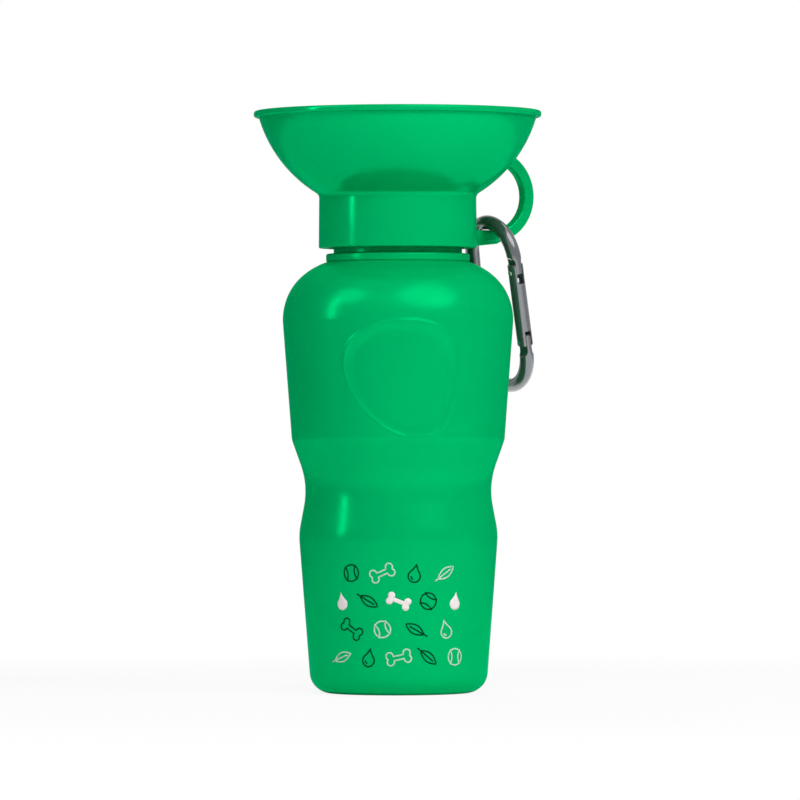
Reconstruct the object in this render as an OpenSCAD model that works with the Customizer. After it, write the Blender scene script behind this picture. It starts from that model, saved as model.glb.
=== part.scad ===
// Squeeze bottle with a drinking bowl on top, a turning valve under the bowl and a spring clip in its loop.
// Millimetres. The origin is on the floor under the bottle's axis, +Z is up and the front faces -Y.

/* [Bottle] */
// Widest diameter, where the shoulder starts
bottle_d = 88; // [74:1:104]
// Diameter at the floor, before its edge is rounded
base_d = 66.8; // [56:0.1:80]
// Diameter at the crest under the waist
crest_d = 76; // [64:1:90]
// Diameter at the waist, before it is rounded
waist_d = 69; // [57:0.1:82]
// Diameter at the crease above the waist
crease_d = 81.2; // [68:0.1:96]
// Height of the crest
crest_z = 60.8; // [52:0.1:70]
// Height of the waist above the crest
waist_rise = 18.6; // [15:0.1:23]
// Height of the crease above the waist
crease_rise = 17.1; // [14:0.1:21]
// Height of the upper body, from the crease to the shoulder
upper_h = 45.5; // [38:0.5:56]
// Height of the domed shoulder
shoulder_h = 22.6; // [18:0.1:27]
// Wall of the blown bottle
bottle_wall = 1.5; // [1.2:0.1:1.9]
// Rounding between floor and side
base_round = 9; // [4:0.5:10]
// Rounding of the crest
crest_round = 25; // [15:1:32]
// Rounding of the waist
waist_round = 30; // [18:1:38]
// Rounding of the crease
crease_round = 9; // [5:1:14]
// Height of the push-up in the middle of the floor
push_up = 2.4; // [1:0.1:4]
// Radius where the push-up ends and the standing ring begins
push_up_r = 18; // [14:0.5:22]

/* [Thumb recesses, front and back] */
// Width
thumb_w = 39; // [30:0.5:46]
// Height
thumb_h = 44.5; // [36:0.5:52]
// Depth
thumb_depth = 0.7; // [0.4:0.1:1]
// How much narrower the lower end is than the upper one, as a share
thumb_taper = 0.22; // [0:0.01:0.4]
// Height of its middle above the crease
thumb_rise = 23.1; // [20:0.1:28]

/* [Neck] */
// Diameter of the ring under the collar
ring_d = 54.8; // [52:0.1:60]
// Height of that ring
ring_h = 2.8; // [2.2:0.1:4]
// Diameter of the plain neck above the ring
neck_d = 49; // [48:0.1:52]
// Diameter at the root of the neck's thread
thread_root_d = 46.8; // [44:0.1:48]
// Depth of the thread
thread_depth = 1.2; // [0.8:0.1:1.3]
// Bore of the neck
neck_bore_d = 42; // [38:0.5:43]
// Height of the neck, from the top of the ring to the lip
neck_h = 17; // [15:0.1:20.5]
// Height of the plain part of the neck
neck_plain_h = 3.5; // [2.5:0.1:4]

/* [Collar and bowl] */
// Diameter of the collar
collar_d = 60.4; // [58:0.1:70]
// How much smaller the collar is at its top
collar_draft = 0.4; // [0:0.1:1]
// Gap between the bottle's ring and the collar
collar_gap = 2.2; // [1.2:0.1:2.8]
// Wall of the collar and of the bowl
bowl_wall = 2.2; // [1.6:0.1:2.7]
// Radius of the bowl's outline
bowl_arc_r = 50.5; // [46:0.5:60]
// Distance from the axis to the centre of that outline
bowl_arc_x = 4.5; // [2:0.1:8]
// Height of that centre above the bowl's edge
bowl_arc_lift = 11.7; // [9.5:0.1:14]
// Height of the bowl above its floor
bowl_depth = 31.9; // [27:0.1:38]
// Thickness of the bowl's floor
floor_t = 2; // [1.6:0.1:2.4]
// Rounding where the bowl leaves the collar
bowl_foot_round = 2.5; // [2:0.1:5]
// Diameter of the rim
rim_d = 109.8; // [108:0.1:132]
// Height of the rim's edge
rim_h = 2.4; // [2:0.1:3.4]

/* [Carrying loop] */
// Turn of the loop about the bottle, from the right towards the back
loop_turn = 28; // [20:1:40]
// Radius of the loop's middle line
loop_r = 15.5; // [13.5:0.1:18.6]
// Distance from the collar to the loop's centre
loop_out = 10; // [8:0.1:12]
// Height of the loop's centre above the bowl's floor
loop_rise = 0.1; // [-2:0.1:2]
// Thickness of the loop, seen from its side
loop_t = 4.6; // [3.8:0.1:5.5]
// Width of the loop, seen from its edge
loop_w = 4.9; // [4:0.1:5.8]
// Rounding of the loop's edges
loop_edge = 0.7; // [0.4:0.1:1.2]
// Depth of the web under the loop's foot, at the collar
loop_web_h = 1.3; // [0.8:0.1:1.8]
// Depth of that web where it runs out under the ring
loop_web_tip = 0.8; // [0.4:0.1:1.2]

/* [Cap, valve and seals] */
// Thickness of the flat gasket on the lip
gasket_t = 1.5; // [1.2:0.1:1.8]
// Thickness of the cap's ceiling
ceiling_t = 1.8; // [1.5:0.1:2.2]
// Wall of the cap's skirt
skirt_t = 1.9; // [1.5:0.1:2]
// Radius of the valve stem
stem_r = 7; // [6:0.1:8.4]
// Bore of the valve stem
stem_bore_r = 2.8; // [2.3:0.1:3.3]
// Height of the stem above the ceiling
stem_h = 11.4; // [10.8:0.1:13.6]
// Width of the valve's windows
window_w = 4; // [3.2:0.1:4.6]
// Height of the valve's windows
window_h = 3.6; // [3:0.1:4]
// Thickness of the O-rings
o_ring_t = 1; // [0.8:0.1:1.2]
// Wall of the chimney that turns on the stem
chimney_t = 2.15; // [1.8:0.05:2.6]
// Turn of the bowl between shut and open
valve_turn = 90; // [75:1:105]
// Height of the rib that snaps under the cap's skirt
snap_h = 1.8; // [1.4:0.1:2.2]
// How far the snap rib reaches under the skirt
snap_grip = 0.8; // [0.6:0.1:1]

/* [Dip tube] */
// Outer diameter
tube_d = 7; // [5.8:0.1:8.4]
// Wall
tube_wall = 1; // [0.8:0.1:1.2]
// Gap between its end and the bottle's floor
tube_floor_gap = 3; // [2:0.5:6]
// Thickness of the holder's flange in the neck's mouth
holder_t = 1; // [0.8:0.1:1.2]
// Width of the lip that stays outside the holder's flange
lip_w = 1.2; // [0.9:0.1:1.4]
// Length of the spigot that reaches from the cap into the holder
spigot_l = 10; // [8.5:0.5:12]
// Length of the tube that sits in the holder
tube_seat_l = 9; // [7:0.5:12]

/* [Clip] */
// Overall length
clip_l = 70.4; // [62:0.1:80]
// Diameter of its rod
rod_d = 5.5; // [4.6:0.1:6.6]
// Diameter of its gate
gate_d = 6; // [5.4:0.1:6.8]
// Radius of the hinge end's bend, at the rod's middle
bend_r = 13.6; // [12:0.1:16]
// Slant of the gate against the spine
gate_slant = 4.4; // [3:0.1:6]
// Turn of the clip's plane from the right towards the front
clip_turn = 56; // [50:1:62]
// Roll of the clip in its own plane
clip_roll = 11.4; // [6:0.1:14]
// How far inside the loop's centre the clip hangs, on the loop's straight foot
clip_in = 1.6; // [0:0.1:3]
// Lean beyond the least one, which leaves the gate room to open beside the shoulder
gate_lean = 3; // [1.5:0.1:4]
// Gap between the rod's hinge end and the gate
gate_gap = 1.4; // [1.1:0.1:1.9]
// Distance from the gate's upper end to its rivet
rivet_in = 3.2; // [2.8:0.1:3.6]
// Diameter of the rivet
rivet_d = 2; // [1.6:0.1:2.4]
// Thickness of the tang that the gate turns on
tang_t = 2.6; // [2:0.1:2.8]
// Thickness of the nose's tongue
tongue_t = 2; // [1.6:0.1:2.4]
// Length of the tongue
tongue_l = 7.2; // [6:0.1:8.4]
// Gap between the gate's lower end and the nose
nose_gap = 2.6; // [2:0.1:3.2]
// Diameter of the cross pin in the gate's lower end
nose_pin_d = 1.6; // [1.2:0.1:1.8]
// Length of the gate's upper slot
hinge_slot_l = 7.6; // [6.8:0.1:9]
// Diameter of the gate's spring bore
spring_bore_d = 2.4; // [2:0.1:2.8]
// Depth of that bore below the slot
spring_bore_l = 11; // [9:0.5:13]

/* [Clearances] */
// Radial gap of the stem in the chimney
turn_gap = 0.05; // [0.02:0.01:0.1]
// Gap between pieces that only sit side by side
loose_gap = 0.3; // [0.2:0.05:0.5]
// Gap around a fixed pin or a tube in its socket
seat_gap = 0.02; // [0.01:0.01:0.04]
// Gap between the clip's rod and the bottle it leans on
lean_gap = 0.4; // [0.3:0.1:1]

/* [Hidden] */
$fn = 96;
eps = 0.01;
arc_step = 9;
dome_steps = 12;
egg_step = 10;

// Heights of the bottle, from the floor up
waist_z = crest_z + waist_rise;
crease_z = waist_z + crease_rise;
shoulder_z = crease_z + upper_h;
push_up_flat_r = push_up_r * 0.7;
ring_r = ring_d / 2;
ring_step = 0.4;
shoulder_inset = 3.4;
shoulder_x = ring_r - shoulder_inset;
shoulder_a = bottle_d / 2 - shoulder_x;
shoulder_end = acos(shoulder_inset / shoulder_a);
shoulder_top_z = shoulder_z + shoulder_h * sin(shoulder_end);
ring_z = shoulder_top_z + ring_step;
ring_top_z = ring_z + ring_h;
plain_top_z = ring_top_z + neck_plain_h;
lip_z = ring_top_z + neck_h;
root_r = thread_root_d / 2;
neck_bore_r = neck_bore_d / 2;
holder_seat_r = root_r - lip_w;

// Cap and valve, from the lip up
ceiling_z = lip_z + gasket_t;
ceiling_top_z = ceiling_z + ceiling_t;
skirt_in_r = max(root_r + thread_depth, neck_d / 2) + loose_gap;
skirt_out_r = skirt_in_r + skirt_t;
gasket_w = 6.6;
gasket_out_r = root_r + 0.2;
gasket_in_r = gasket_out_r - gasket_w;
collar_z = ring_top_z + collar_gap;
collar_r = collar_d / 2;
collar_top_r = collar_r - collar_draft / 2;
collar_in_r = collar_r - bowl_wall;
snap_lift = 0.3;
snap_lead = 0.8;
snap_z = collar_z + snap_lift;
snap_top_z = snap_z + snap_h;
snap_r = skirt_out_r - snap_grip;
skirt_z = snap_top_z + loose_gap;
floor_under_z = ceiling_top_z + loose_gap;
floor_z = floor_under_z + floor_t;
chimney_in_r = stem_r + turn_gap;
chimney_out_r = chimney_in_r + chimney_t;
stem_top_z = ceiling_top_z + stem_h;
stem_stands_out = 1.2;
chimney_top_z = stem_top_z - stem_stands_out;
groove_r = stem_r - o_ring_t + turn_gap - 2 * seat_gap;
o_ring_mid_r = chimney_in_r - seat_gap - o_ring_t / 2;
groove_h = o_ring_t + 0.2;
o_ring_rise = 1.1;
window_land = 0.8;
o_ring_low_z = floor_under_z + o_ring_rise;
window_z = o_ring_low_z + groove_h / 2 + window_land + window_h / 2;
o_ring_high_z = window_z + window_h / 2 + window_land + groove_h / 2;
stem_bore_top_z = window_z + window_h / 2;
stop_rib_deg = 8;
stop_slack_deg = 0.5;
stop_rib_at = 180;
stop_rib_z = skirt_z + 3;
stop_rib_h = 9;
stop_rib_out_r = collar_in_r - loose_gap;
stop_rib_in_r = skirt_out_r + loose_gap;

// Bowl outline: one arc over the collar, and the same arc set in by the wall
bowl_z = floor_z + bowl_depth;
bowl_arc_z = bowl_z + bowl_arc_lift;
bowl_in_arc_r = bowl_arc_r - bowl_wall;
rim_r = rim_d / 2;
rim_z = bowl_z - rim_h;
foot_x = collar_top_r + bowl_foot_round;
foot_reach = bowl_arc_r + bowl_foot_round;
foot_z = bowl_arc_z - sqrt(foot_reach * foot_reach - pow(foot_x - bowl_arc_x, 2));
foot_angle = atan2(bowl_arc_z - foot_z, bowl_arc_x - foot_x);

// Dip tube and its holder
tube_r = tube_d / 2;
holder_z = lip_z - holder_t;
spigot_wall = 1.7;
spigot_r = stem_bore_r + spigot_wall;
spigot_z = ceiling_z - spigot_l;
holder_bore_r = spigot_r + turn_gap;
holder_wall = 1.45;
holder_step = 1;
holder_boss_r = holder_bore_r + holder_wall;
holder_step_z = spigot_z - holder_step;
tube_top_z = holder_step_z - holder_step;
holder_foot_z = tube_top_z - tube_seat_l;
tube_socket_r = tube_r + seat_gap;
holder_foot_r = tube_socket_r + holder_wall;
tube_cut_deg = 35;
tube_z = push_up + bottle_wall + tube_floor_gap;

// Loop
loop_x = collar_r + loop_out;
loop_z = floor_z + loop_rise;
loop_web_w = loop_w - 2 * loop_edge - 0.2;
loop_web_past = 1.8;
loop_web_turn = 19;
loop_web_in = 0.3;
loop_buried = 9;
to_bowl = [bowl_arc_x - loop_x, bowl_arc_z - loop_z];
loop_meets_cos = (to_bowl * to_bowl + loop_r * loop_r - bowl_arc_r * bowl_arc_r) / (2 * norm(to_bowl) * loop_r);
loop_meets = atan2(to_bowl[1], to_bowl[0]) - acos(loop_meets_cos);
loop_sweep = 90 + loop_meets + loop_buried;
loop_low_z = loop_z - loop_r;

// Clip, in its own plane: x runs from spine to gate and y runs up, with 0,0 beside the top of the hinge bend
rod_r = rod_d / 2;
gate_r = gate_d / 2;
milled_r = rod_r - 0.2;
nose_pin_short = 0.3;
rivet_head_h = 0.25;
mid_l = clip_l - rod_d;
gate_way = [sin(gate_slant), -cos(gate_slant)];
gate_side = [cos(gate_slant), sin(gate_slant)];
bend_end = [bend_r + bend_r * cos(gate_slant), -bend_r + bend_r * sin(gate_slant)];
hook_r = (bend_end * gate_side + mid_l * gate_side[1]) / (1 + gate_side[0] + gate_side[1]);
hook_c = [hook_r, hook_r - mid_l];
hook_end = hook_c + hook_r * gate_side;
gate_line_l = norm(hook_end - bend_end);
gate_l = gate_line_l - gate_gap - nose_gap;
rivet_at = gate_gap + rivet_in;
tang_end_r = rivet_d / 2 + 0.9;
slot_gap = 0.2;
nose_slot_gap = 0.35;
nose_slot_play = 1.3;
nose_pin_in = 1.6;
pin_play = 0.3;
joint_l = 0.5;
nose_pin_at = gate_gap + gate_l - nose_pin_in;
tongue_top_at = gate_line_l - tongue_l;
nose_slot_l = gate_gap + gate_l - tongue_top_at + nose_slot_play;
bore_top_at = gate_gap + hinge_slot_l;
plunger_r = spring_bore_d / 2 - turn_gap;
spring_wire = 0.4;
plunger_l = 4;
plunger_at = rivet_at + tang_end_r + loose_gap;

// Where the clip hangs: the top of its bend lies on the loop's straight foot
hang_x = loop_x - clip_in;
hang_point = [hang_x * cos(loop_turn), hang_x * sin(loop_turn), loop_low_z + loop_t / 2 + rod_r + loose_gap];
hang_local = [bend_r - bend_r * sin(clip_roll), -bend_r + bend_r * cos(clip_roll)];
across = [cos(clip_turn), -sin(clip_turn), 0];
outward = [sin(clip_turn), cos(clip_turn), 0];
up = [0, 0, 1];

// --- Outlines ---

// A point on a circle
function on_circle(c, r, a) = [c[0] + r * cos(a), c[1] + r * sin(a)];

// Points of an arc, both ends included
function arc(c, r, a0, a1) =
    let (n = max(2, ceil(abs(a1 - a0) / arc_step)))
    [for (i = [0:n]) on_circle(c, r, a0 + (a1 - a0) * i / n)];

function unit(v) = v / norm(v);

// One corner rounded by r, and by less where its sides are too short for that
function round_corner(before, at, after, r) =
    let (
        d0 = unit(before - at),
        d1 = unit(after - at),
        half = acos(max(-1, min(1, d0 * d1))) / 2,
        room = 0.49 * min(norm(before - at), norm(after - at)),
        rr = min(r, room * tan(half)),
        c = at + unit(d0 + d1) * rr / sin(half),
        t0 = at + d0 * rr / tan(half),
        t1 = at + d1 * rr / tan(half),
        a0 = atan2(t0[1] - c[1], t0[0] - c[0]),
        turn = atan2(t1[1] - c[1], t1[0] - c[0]) - a0,
        sweep = turn > 180 ? turn - 360 : turn < -180 ? turn + 360 : turn
    )
    arc(c, rr, a0, a0 + sweep);

// A closed outline from corners [x, y, rounding]
function rounded(corners) =
    let (n = len(corners))
    [for (i = [0:n - 1])
        let (
            c = corners[i],
            b = corners[(i + n - 1) % n],
            a = corners[(i + 1) % n]
        )
        each c[2] > 0
            ? round_corner([b[0], b[1]], [c[0], c[1]], [a[0], a[1]], c[2])
            : [[c[0], c[1]]]];

// The shoulder's quarter ellipse as far as the neck's ring, set in by inset
function shoulder_points(inset, end) =
    [for (i = [0:dome_steps])
        let (t = end * i / dome_steps)
        [shoulder_x + (shoulder_a - inset) * cos(t), shoulder_z + (shoulder_h - inset) * sin(t)]];

// The bottle's outside, floor to shoulder
function side_corners(inset) = [
    [base_d / 2 - inset, inset, base_round],
    [crest_d / 2 - inset, crest_z, crest_round],
    [waist_d / 2 - inset, waist_z, waist_round],
    [crease_d / 2 - inset, crease_z, crease_round],
    [bottle_d / 2 - inset, shoulder_z, 0]
];

function plain(points) = [for (p = points) [p[0], p[1], 0]];

// Radius of the upper body's straight side at a height
function upper_r(z) =
    crease_d / 2 + (bottle_d - crease_d) / 2 * (z - crease_z) / upper_h;

// --- Where the clip hangs ---

// A point of the clip's plane, at a lean away from the bottle
function hung(p, lean) =
    let (
        q = p - hang_local,
        rolled = [q[0] * cos(clip_roll) + q[1] * sin(clip_roll),
                  q[1] * cos(clip_roll) - q[0] * sin(clip_roll)]
    )
    hang_point + rolled[0] * across + rolled[1] * (cos(lean) * up - sin(lean) * outward);

spine_points = [for (t = [0:0.04:1]) [0, -bend_r - t * (mid_l - bend_r - hook_r)]];
hook_points = arc(hook_c, hook_r, 180, 360 + gate_slant);

body_outline = rounded(concat([[0, 0, 0]], side_corners(0)));
bottle_outline = concat(
    [for (p = body_outline) if (p[1] > crest_z) p],
    shoulder_points(0, shoulder_end),
    [[ring_r, ring_top_z], [collar_r, collar_z], [collar_r, ceiling_top_z]]
);

// Distance from a point to the line between two others
function line_gap(p, a, b) =
    let (t = (p - a) * (b - a) / ((b - a) * (b - a)))
    norm(p - a - max(0, min(1, t)) * (b - a));

// Least gap between the clip's middle line and the bottle's outline
function lean_room(lean) =
    min([for (p = concat(spine_points, hook_points))
        let (w = hung(p, lean), at = [norm([w[0], w[1]]), w[2]])
        min([for (i = [1:len(bottle_outline) - 1])
            line_gap(at, bottle_outline[i - 1], bottle_outline[i])])]);

// The least lean that keeps the rod clear of the bottle, found by halving
function least_lean(low, high, steps) =
    steps == 0 ? high
    : let (mid = (low + high) / 2)
      lean_room(mid) > rod_r + lean_gap
          ? least_lean(low, mid, steps - 1)
          : least_lean(mid, high, steps - 1);

clip_lean = least_lean(0, 60, 9) + gate_lean;

// --- Small shapes ---

module ring_solid(r_in, r_out, z0, z1) {
    translate([0, 0, z0])
        difference() {
            cylinder(r = r_out, h = z1 - z0);
            translate([0, 0, -1]) cylinder(r = r_in, h = z1 - z0 + 2);
        }
}

// A block between two radii, centred on an angle
module rib(r_in, r_out, z0, h, at, width_deg) {
    rotate([0, 0, at - width_deg / 2])
        translate([0, 0, z0])
            rotate_extrude(angle = width_deg)
                translate([r_in, 0]) square([r_out - r_in, h]);
}

// --- Bottle ---

// Egg outline of the thumb recess: an ellipse whose lower half is drawn in
egg = [
    for (a = [0:egg_step:360 - egg_step])
        [thumb_w / 2 * cos(a) * (1 - thumb_taper * (1 - sin(a)) / 2), thumb_h / 2 * sin(a)]
];

// What the recess takes off: the egg's prism outside a cone set in from the upper body
module thumb_cut() {
    z0 = crease_z;
    difference() {
        translate([0, 0, z0 + thumb_rise])
            rotate([90, 0, 0])
                linear_extrude(bottle_d) polygon(egg);
        translate([0, 0, z0 - thumb_h])
            cylinder(
                r1 = upper_r(z0 - thumb_h) - thumb_depth,
                r2 = upper_r(z0 + 2 * thumb_h) - thumb_depth,
                h = 3 * thumb_h
            );
    }
}

module bottle_shell() {
    outside = concat(
        [[0, push_up, 0], [push_up_flat_r, push_up, 0], [push_up_r, 0, 0]],
        side_corners(0),
        plain([for (p = shoulder_points(0, shoulder_end)) if (p[1] > shoulder_z + eps) p]),
        [
            [ring_r - ring_step, shoulder_top_z + ring_step / 2, 0],
            [ring_r, ring_z, 0.3],
            [ring_r, ring_top_z, 0.6],
            [neck_d / 2, ring_top_z, 0],
            [neck_d / 2, plain_top_z, 0.4],
            [root_r, plain_top_z, 0],
            [root_r, lip_z, 0.3]
        ]
    );
    inside = concat(
        [
            [holder_seat_r, lip_z, 0],
            [holder_seat_r, holder_z, 0],
            [neck_bore_r, holder_z, 0],
            [neck_bore_r, shoulder_z + shoulder_h, 1]
        ],
        plain([for (i = [dome_steps - 1:-1:1]) shoulder_points(bottle_wall, 90)[i]]),
        [for (i = [len(side_corners(0)) - 1:-1:0]) side_corners(bottle_wall)[i]],
        [
            [push_up_r, bottle_wall, 0],
            [push_up_flat_r, push_up + bottle_wall, 0],
            [0, push_up + bottle_wall, 0]
        ]
    );
    color([0, 0.66, 0.38])
        difference() {
            rotate_extrude() polygon(rounded(concat(outside, inside)));
            for (side = [0, 180]) rotate([0, 0, side]) thumb_cut();
        }
}

// --- Cap, seals and tube ---

module neck_gasket() {
    color([0.85, 0.87, 0.86])
        rotate_extrude()
            polygon(rounded([
                [gasket_in_r, lip_z, 0.3],
                [gasket_out_r, lip_z, 0.3],
                [gasket_out_r, ceiling_z, 0.3],
                [gasket_in_r, ceiling_z, 0.3]
            ]));
}

module tube_holder() {
    color([0.88, 0.9, 0.9])
        rotate_extrude()
            polygon(rounded([
                [holder_bore_r, lip_z, 0.3],
                [holder_seat_r - turn_gap, lip_z, 0],
                [holder_seat_r - turn_gap, holder_z, 0],
                [holder_boss_r, holder_z, 0.8],
                [holder_boss_r, tube_top_z, 0.4],
                [holder_foot_r, tube_top_z - holder_step, 0],
                [holder_foot_r, holder_foot_z, 0.3],
                [tube_socket_r, holder_foot_z, 0],
                [tube_socket_r, tube_top_z, 0],
                [stem_bore_r, tube_top_z, 0],
                [stem_bore_r, holder_step_z, 0],
                [holder_bore_r, holder_step_z, 0]
            ]));
}

module dip_tube() {
    color([0.9, 0.93, 0.93])
        difference() {
            ring_solid(tube_r - tube_wall, tube_r, tube_z, tube_top_z);
            translate([0, 0, tube_z])
                rotate([0, -tube_cut_deg, 0])
                    translate([-tube_d, -tube_d, -2 * tube_d])
                        cube([2 * tube_d, 2 * tube_d, 2 * tube_d]);
        }
}

module stem_o_ring(z) {
    color([0.12, 0.12, 0.13])
        translate([0, 0, z])
            rotate_extrude()
                translate([o_ring_mid_r, 0]) circle(d = o_ring_t);
}

module stem_o_ring_lower() {
    stem_o_ring(o_ring_low_z);
}

module stem_o_ring_upper() {
    stem_o_ring(o_ring_high_z);
}

module screw_cap() {
    color([0.82, 0.85, 0.84])
        union() {
            difference() {
                rotate_extrude()
                    polygon(rounded([
                        [0, stem_top_z, 0],
                        [0, stem_bore_top_z, 0],
                        [stem_bore_r, stem_bore_top_z, 0],
                        [stem_bore_r, spigot_z, 0],
                        [spigot_r, spigot_z, 0.4],
                        [spigot_r, ceiling_z, 0],
                        [skirt_in_r, ceiling_z, 0],
                        [skirt_in_r, skirt_z, 0],
                        [skirt_out_r, skirt_z, 0.4],
                        [skirt_out_r, ceiling_top_z, 0.8],
                        [stem_r, ceiling_top_z, 0],
                        [stem_r, o_ring_low_z - groove_h / 2, 0],
                        [groove_r, o_ring_low_z - groove_h / 2, 0],
                        [groove_r, o_ring_low_z + groove_h / 2, 0],
                        [stem_r, o_ring_low_z + groove_h / 2, 0],
                        [stem_r, o_ring_high_z - groove_h / 2, 0],
                        [groove_r, o_ring_high_z - groove_h / 2, 0],
                        [groove_r, o_ring_high_z + groove_h / 2, 0],
                        [stem_r, o_ring_high_z + groove_h / 2, 0],
                        [stem_r, stem_top_z, 0.9]
                    ]));
                translate([0, 0, window_z])
                    cube([3 * stem_r, window_w, window_h], center = true);
            }
            rib(skirt_out_r - eps, stop_rib_out_r, stop_rib_z, stop_rib_h, stop_rib_at, stop_rib_deg);
        }
}

// --- Bowl top: bowl, collar, chimney and loop in one moulding ---

// The outside of bowl and collar, set in by inset, as an outline closed on the axis
function bowl_outside(inset) =
    let (
        r = bowl_arc_r - inset,
        rf = bowl_foot_round + inset,
        top = asin((bowl_arc_z - rim_z) / r)
    )
    concat(
        [[0, collar_z], [collar_r - inset, collar_z]],
        arc([foot_x, foot_z], rf, 180, foot_angle),
        arc([bowl_arc_x, bowl_arc_z], r, foot_angle - 180, -top),
        [[0, rim_z]]
    );

module bowl_shell() {
    outer_top = asin((bowl_arc_z - rim_z) / bowl_arc_r);
    inner_top = asin((bowl_arc_z - bowl_z) / bowl_in_arc_r);
    inner_low = asin((bowl_arc_z - floor_z) / bowl_in_arc_r);
    foot = arc([foot_x, foot_z], bowl_foot_round, 180, foot_angle);
    outer = arc([bowl_arc_x, bowl_arc_z], bowl_arc_r, foot_angle - 180, -outer_top);
    inner = arc([bowl_arc_x, bowl_arc_z], bowl_in_arc_r, -inner_top, -inner_low);
    rotate_extrude()
        polygon(rounded(concat(
            [[snap_r + snap_lead, collar_z, 0], [collar_r, collar_z, 0.5]],
            plain(foot),
            plain([for (i = [1:len(outer) - 1]) outer[i]]),
            [
                [rim_r, rim_z, 0.9],
                [rim_r, bowl_z, 0.9],
                [inner[0][0], bowl_z, 0.8]
            ],
            plain([for (i = [1:len(inner) - 1]) inner[i]]),
            [
                [chimney_out_r, floor_z, 1.2],
                [chimney_out_r, chimney_top_z, 0.7],
                [chimney_in_r, chimney_top_z, 0.5],
                [chimney_in_r, floor_under_z, 0],
                [collar_in_r, floor_under_z, 1],
                [collar_in_r, snap_top_z, 0],
                [snap_r, snap_top_z, 0],
                [snap_r, snap_z + snap_lead, 0]
            ]
        )));
}

// The loop's section: a rectangle with rounded edges
module loop_section(w, h) {
    polygon(rounded([
        [-w / 2, -h / 2, loop_edge],
        [w / 2, -h / 2, loop_edge],
        [w / 2, h / 2, loop_edge],
        [-w / 2, h / 2, loop_edge]
    ]));
}

// The loop's ring, its straight foot and the web below, drawn in the plane through the bottle's axis
module loop_solid() {
    web = [
        [collar_in_r, loop_low_z],
        [collar_in_r, loop_low_z - loop_t / 2 - loop_web_h],
        [loop_x + loop_web_past, loop_low_z - loop_t / 2 - loop_web_tip],
        on_circle([loop_x, loop_z], loop_r + loop_t / 2 - loop_web_in, loop_web_turn - 90),
        [loop_x + loop_web_past, loop_low_z]
    ];
    rotate([0, 0, loop_turn])
        rotate([90, 0, 0]) {
            translate([loop_x, loop_z, 0])
                rotate([0, 0, -90])
                    rotate_extrude(angle = loop_sweep)
                        translate([loop_r, 0]) loop_section(loop_t, loop_w);
            translate([collar_in_r, loop_low_z, 0])
                rotate([0, 90, 0])
                    linear_extrude(loop_x - collar_in_r) loop_section(loop_w, loop_t);
            translate([0, 0, -loop_web_w / 2])
                linear_extrude(loop_web_w) polygon(web);
        }
}

module bowl_top() {
    color([0, 0.68, 0.4])
        difference() {
            union() {
                bowl_shell();
                difference() {
                    loop_solid();
                    rotate_extrude() polygon(bowl_outside(bowl_wall / 2));
                }
                for (at = [stop_rib_at + stop_rib_deg + stop_slack_deg,
                           stop_rib_at - stop_rib_deg - stop_slack_deg - valve_turn])
                    rib(stop_rib_in_r, collar_in_r + eps, stop_rib_z, stop_rib_h, at, stop_rib_deg);
            }
            translate([0, 0, window_z])
                cube([window_w, 3 * chimney_out_r, window_h], center = true);
        }
}

// --- Clip ---

// Puts what is drawn in the clip's plane where the clip hangs
module hang() {
    translate(hang_point)
        rotate([0, 0, -clip_turn])
            rotate([90, 0, 0])
                rotate([clip_lean, 0, 0])
                    rotate([0, 0, -clip_roll])
                        translate([-hang_local[0], -hang_local[1], 0])
                            children();
}

// Puts children on the gate's line: y runs from the gate's hinge end to its nose end
module on_gate(at) {
    translate([bend_end[0] + gate_way[0] * at, bend_end[1] + gate_way[1] * at, 0])
        rotate([0, 0, 180 + gate_slant])
            children();
}

module along_y(r, l) {
    rotate([-90, 0, 0]) cylinder(r = r, h = l);
}

// A flat tang or tongue: the rod's end turned down a little and milled to a thickness
module milled(at, l, thickness) {
    on_gate(at)
        intersection() {
            along_y(milled_r, l);
            translate([-rod_d, -1, -thickness / 2]) cube([2 * rod_d, l + 2, thickness]);
        }
}

// A bend of the rod, from its spine side over the top
module bend(r, sweep) {
    mirror([1, 0, 0])
        rotate_extrude(angle = sweep)
            translate([r, 0]) circle(r = rod_r);
}

module carabiner_body() {
    color([0.42, 0.43, 0.44])
        hang() {
            translate([bend_r, -bend_r, 0]) bend(bend_r, 180 - gate_slant);
            translate([0, -mid_l + hook_r, 0]) along_y(rod_r, mid_l - hook_r - bend_r);
            translate([hook_c[0], hook_c[1], 0]) mirror([0, 1, 0]) bend(hook_r, 180 + gate_slant);
            difference() {
                union() {
                    milled(-joint_l, rivet_at + joint_l, tang_t);
                    on_gate(rivet_at)
                        translate([0, 0, -tang_t / 2]) cylinder(r = tang_end_r, h = tang_t);
                }
                on_gate(rivet_at)
                    translate([0, 0, -rod_d]) cylinder(r = rivet_d / 2 + seat_gap, h = 2 * rod_d);
            }
            difference() {
                union() {
                    milled(tongue_top_at + milled_r, tongue_l - milled_r + joint_l, tongue_t);
                    on_gate(tongue_top_at + milled_r)
                        translate([0, 0, -tongue_t / 2]) cylinder(r = milled_r, h = tongue_t);
                }
                on_gate(nose_pin_at) {
                    translate([0, 0, -rod_d]) cylinder(r = nose_pin_d / 2 + pin_play, h = 2 * rod_d);
                    translate([0, -nose_pin_d / 2 - pin_play, -rod_d])
                        cube([2 * rod_d, nose_pin_d + 2 * pin_play, 2 * rod_d]);
                }
            }
        }
}

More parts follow.
